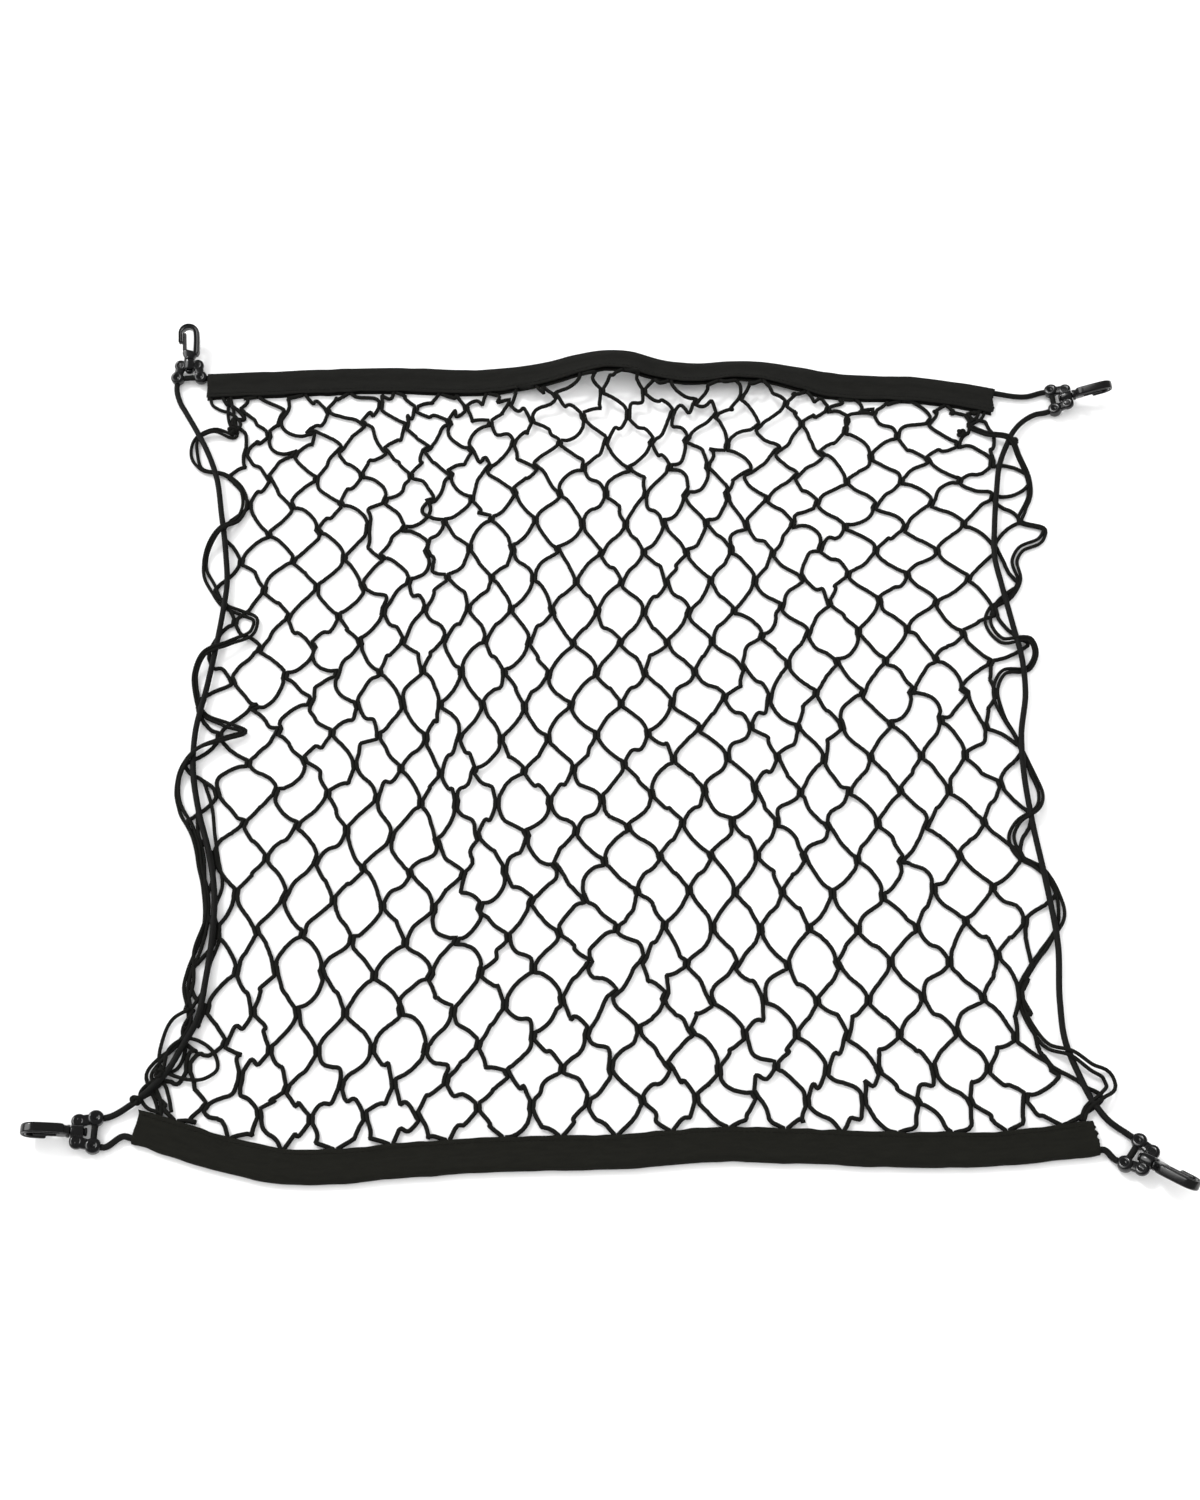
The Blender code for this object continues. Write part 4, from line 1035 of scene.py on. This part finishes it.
def base_shells():
    """A base: a bored hub, a lobe on each side of it and a thick ear behind each lobe."""
    back, front, radius, bore = HUB
    hub = ((back, bore), (back, radius - 1.0), (back + 0.3, radius - 0.3), (back + 1, radius),
           (front - 1, radius), (front - 0.3, radius - 0.3), (front, radius - 1.0),
           (front, bore))
    shells = [lathe(hub, "X", closed=True)]
    for side in (1, -1):
        ear, lobe = (EAR[0], EAR[1] * side), (0.0, LOBE_Y * side)
        shells.append(knob((*ear, 0), EAR_R, EAR_HALF))
        shells.append(knob((*lobe, 0), LOBE_R, PLATE_HALF))
        web = [(lobe[0] + (ear[0] - lobe[0]) * t, lobe[1] + (ear[1] - lobe[1]) * t,
                WEB_HALF - WEB_TAPER * t) for t in (0, 0.25, 0.5, 0.75, 1)]
        shells.append(swept(web, PLATE_HALF - 0.3, PLAIN))
        arm = [(0.0, y * side, ARM_HALF) for y in (3.0, 5.0, LOBE_Y)]
        shells.append(swept(arm, PLATE_HALF - 0.2, PLAIN))
    return shells


def hook_shells():
    """A hook: its turned shank, the yoke and the sunk bar bent round to the nose."""
    x, y, radius = TIP_BEND
    turn = np.radians(np.linspace(-80, 80, 17))
    wide = np.interp(turn, (turn[0], turn[-1]), TIP_HALF)
    bend = np.column_stack((x + radius * np.cos(turn), y + radius * np.sin(turn), wide))
    bar = smooth_bar((*BACK_BAR, *bend.tolist(), *NOSE_BAR))
    return [lathe(SHANK, "X"), swept(YOKE_BAR, HOOK_HALF, PLAIN, 0.25),
            swept(bar, HOOK_HALF, SUNK, 0.8)]


def smooth_bar(points):
    """Close stations on the smooth curve through a bar's own."""
    points = np.array(points, float)
    steps = np.linalg.norm(np.diff(points[:, :2], axis=0), axis=1)
    along = np.concatenate(([0.0], np.cumsum(steps)))
    return smooth_rows(np.column_stack((along, points)), np.arange(0, along[-1], 0.8))


def make_hooks(look):
    """Base, hook and gate at each corner, each riding on its own body."""
    for name, x, y, z, heading, pitch, turn in HOOKS:
        still = hook_frame(x, y, z, heading, pitch)
        turned_frame = hook_frame(x, y, z, heading, pitch, turn)
        gate_frame = turned_frame @ Matrix.Translation((*GATE_PIVOT, 0))
        gate = [swept(smooth_bar(GATE_BAR), GATE_HALF, SUNK, 0.9)]
        for kind, body, shells, place in (
                ("base_", "net", base_shells(), still),
                ("hook_", "hook_" + name, hook_shells(), turned_frame),
                ("gate_", "gate_" + name, gate, gate_frame)):
            piece = moulded_piece(kind + "moulded_" + name, shells, place, look)
            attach(piece, body)
            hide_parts(kind + name)


# ---------------------------------------------------------------- floor, light, camera

def make_camera():
    """A level camera above the front edge, placed so that AIM is seen at AIM_PX."""
    e = math.radians(ELEVATION)
    forward = Vector((0, math.cos(e), -math.sin(e)))
    right = Vector((1, 0, 0))
    up = right.cross(forward)
    u = (AIM_PX[0] - IMAGE[0] / 2) / FOCAL_PX
    v = -(AIM_PX[1] - IMAGE[1] / 2) / FOCAL_PX
    data = bpy.data.cameras.new("camera")
    data.sensor_width = 36.0
    data.lens = data.sensor_width * FOCAL_PX / IMAGE[1]
    data.clip_start = 0.01
    camera = bpy.data.objects.new("camera", data)
    bpy.context.collection.objects.link(camera)
    aim = Vector((*AIM, 0))
    camera.location = (aim - (forward + right * u + up * v) * DISTANCE) * MM
    camera.rotation_euler = (math.radians(90 - ELEVATION), 0, 0)
    bpy.context.scene.camera = camera


def make_studio():
    """A white floor, an even white sky and one soft sun from the upper left.

    A glossy ray meets a dim room with one wide lamp at the left instead of the sky."""
    look, _, _ = new_look("white_paper_floor", "F7F7F7", 0.95)
    points = [(FLOOR_HALF * x, FLOOR_HALF * y, FLOOR_Z)
              for x, y in ((-1, -1), (1, -1), (1, 1), (-1, 1))]
    mesh_piece("floor", points, [(0, 1, 2, 3)], look)
    sun = bpy.data.lights.new("sun", "SUN")
    sun.energy = SUN_STRENGTH
    sun.angle = math.radians(SUN_SPREAD)
    lamp = bpy.data.objects.new("sun", sun)
    bpy.context.collection.objects.link(lamp)
    lamp.rotation_euler = Vector(SUN_WAY).to_track_quat("Z", "Y").to_euler()
    world = bpy.data.worlds.new("studio")
    bpy.context.scene.world = world
    world.use_nodes = True
    tree = world.node_tree
    sky = tree.nodes["Background"]
    sky.inputs["Color"].default_value = (1, 1, 1, 1)
    way = add(tree, "ShaderNodeTexCoord")
    lamp_side = add(tree, "ShaderNodeVectorMath", [(way, "Generated", 0)],
                    operation="DOT_PRODUCT")
    lamp_side.inputs[1].default_value = Vector(MIRRORED_WAY).normalized()
    mirrored = add(tree, "ShaderNodeMapRange", [(lamp_side, "Value", "Value")],
                   interpolation_type="SMOOTHSTEP", From_Min=MIRRORED_RIM[0],
                   From_Max=MIRRORED_RIM[1], To_Min=MIRRORED_DIM, To_Max=MIRRORED_LAMP)
    ray = add(tree, "ShaderNodeLightPath")
    level = add(tree, "ShaderNodeMix", [(ray, "Is Glossy Ray", 0), (mirrored, "Result", 3)])
    level.inputs[2].default_value = SKY_STRENGTH
    tree.links.new(level.outputs[0], sky.inputs["Strength"])
    bpy.context.scene.view_settings.view_transform = "Standard"


def main():
    """Dress the frame: cords first, then bands, net and hooks."""
    make_camera()
    yarn = knitted_polyester_cord()
    top_tape = woven_polyester_tape("woven_polyester_tape_top", "181816")
    low_tape = woven_polyester_tape("woven_polyester_tape_bottom", "161612")
    rubber = braided_elastic()
    nylon = moulded_nylon()
    # Point 8 of an elastic's path lies at the band's end.
    for side, route in elastic_routes().items():
        piece, path = make_elastic(side, route, rubber)
        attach(piece, "net")
        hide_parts("elastic_" + side)
    rng = np.random.default_rng(SEED + 1)
    for name, node, rows, fold, look, cut in (
            ("band_tape_top", "band_top", BAND_TOP, 1, top_tape, CUT_TOP),
            ("band_tape_bottom", "band_bottom", BAND_BOTTOM, -1, low_tape, CUT_BOTTOM)):
        band, stitches = make_band(name, rows, fold, look, rng, cut)
        for piece in (band, stitches):
            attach(piece, "net")
            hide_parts(node)
    net, selvedge = make_net(yarn)
    for piece in (net, selvedge):
        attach(piece, "net")
        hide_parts("net")
    make_hooks(nylon)
    make_studio()


main()
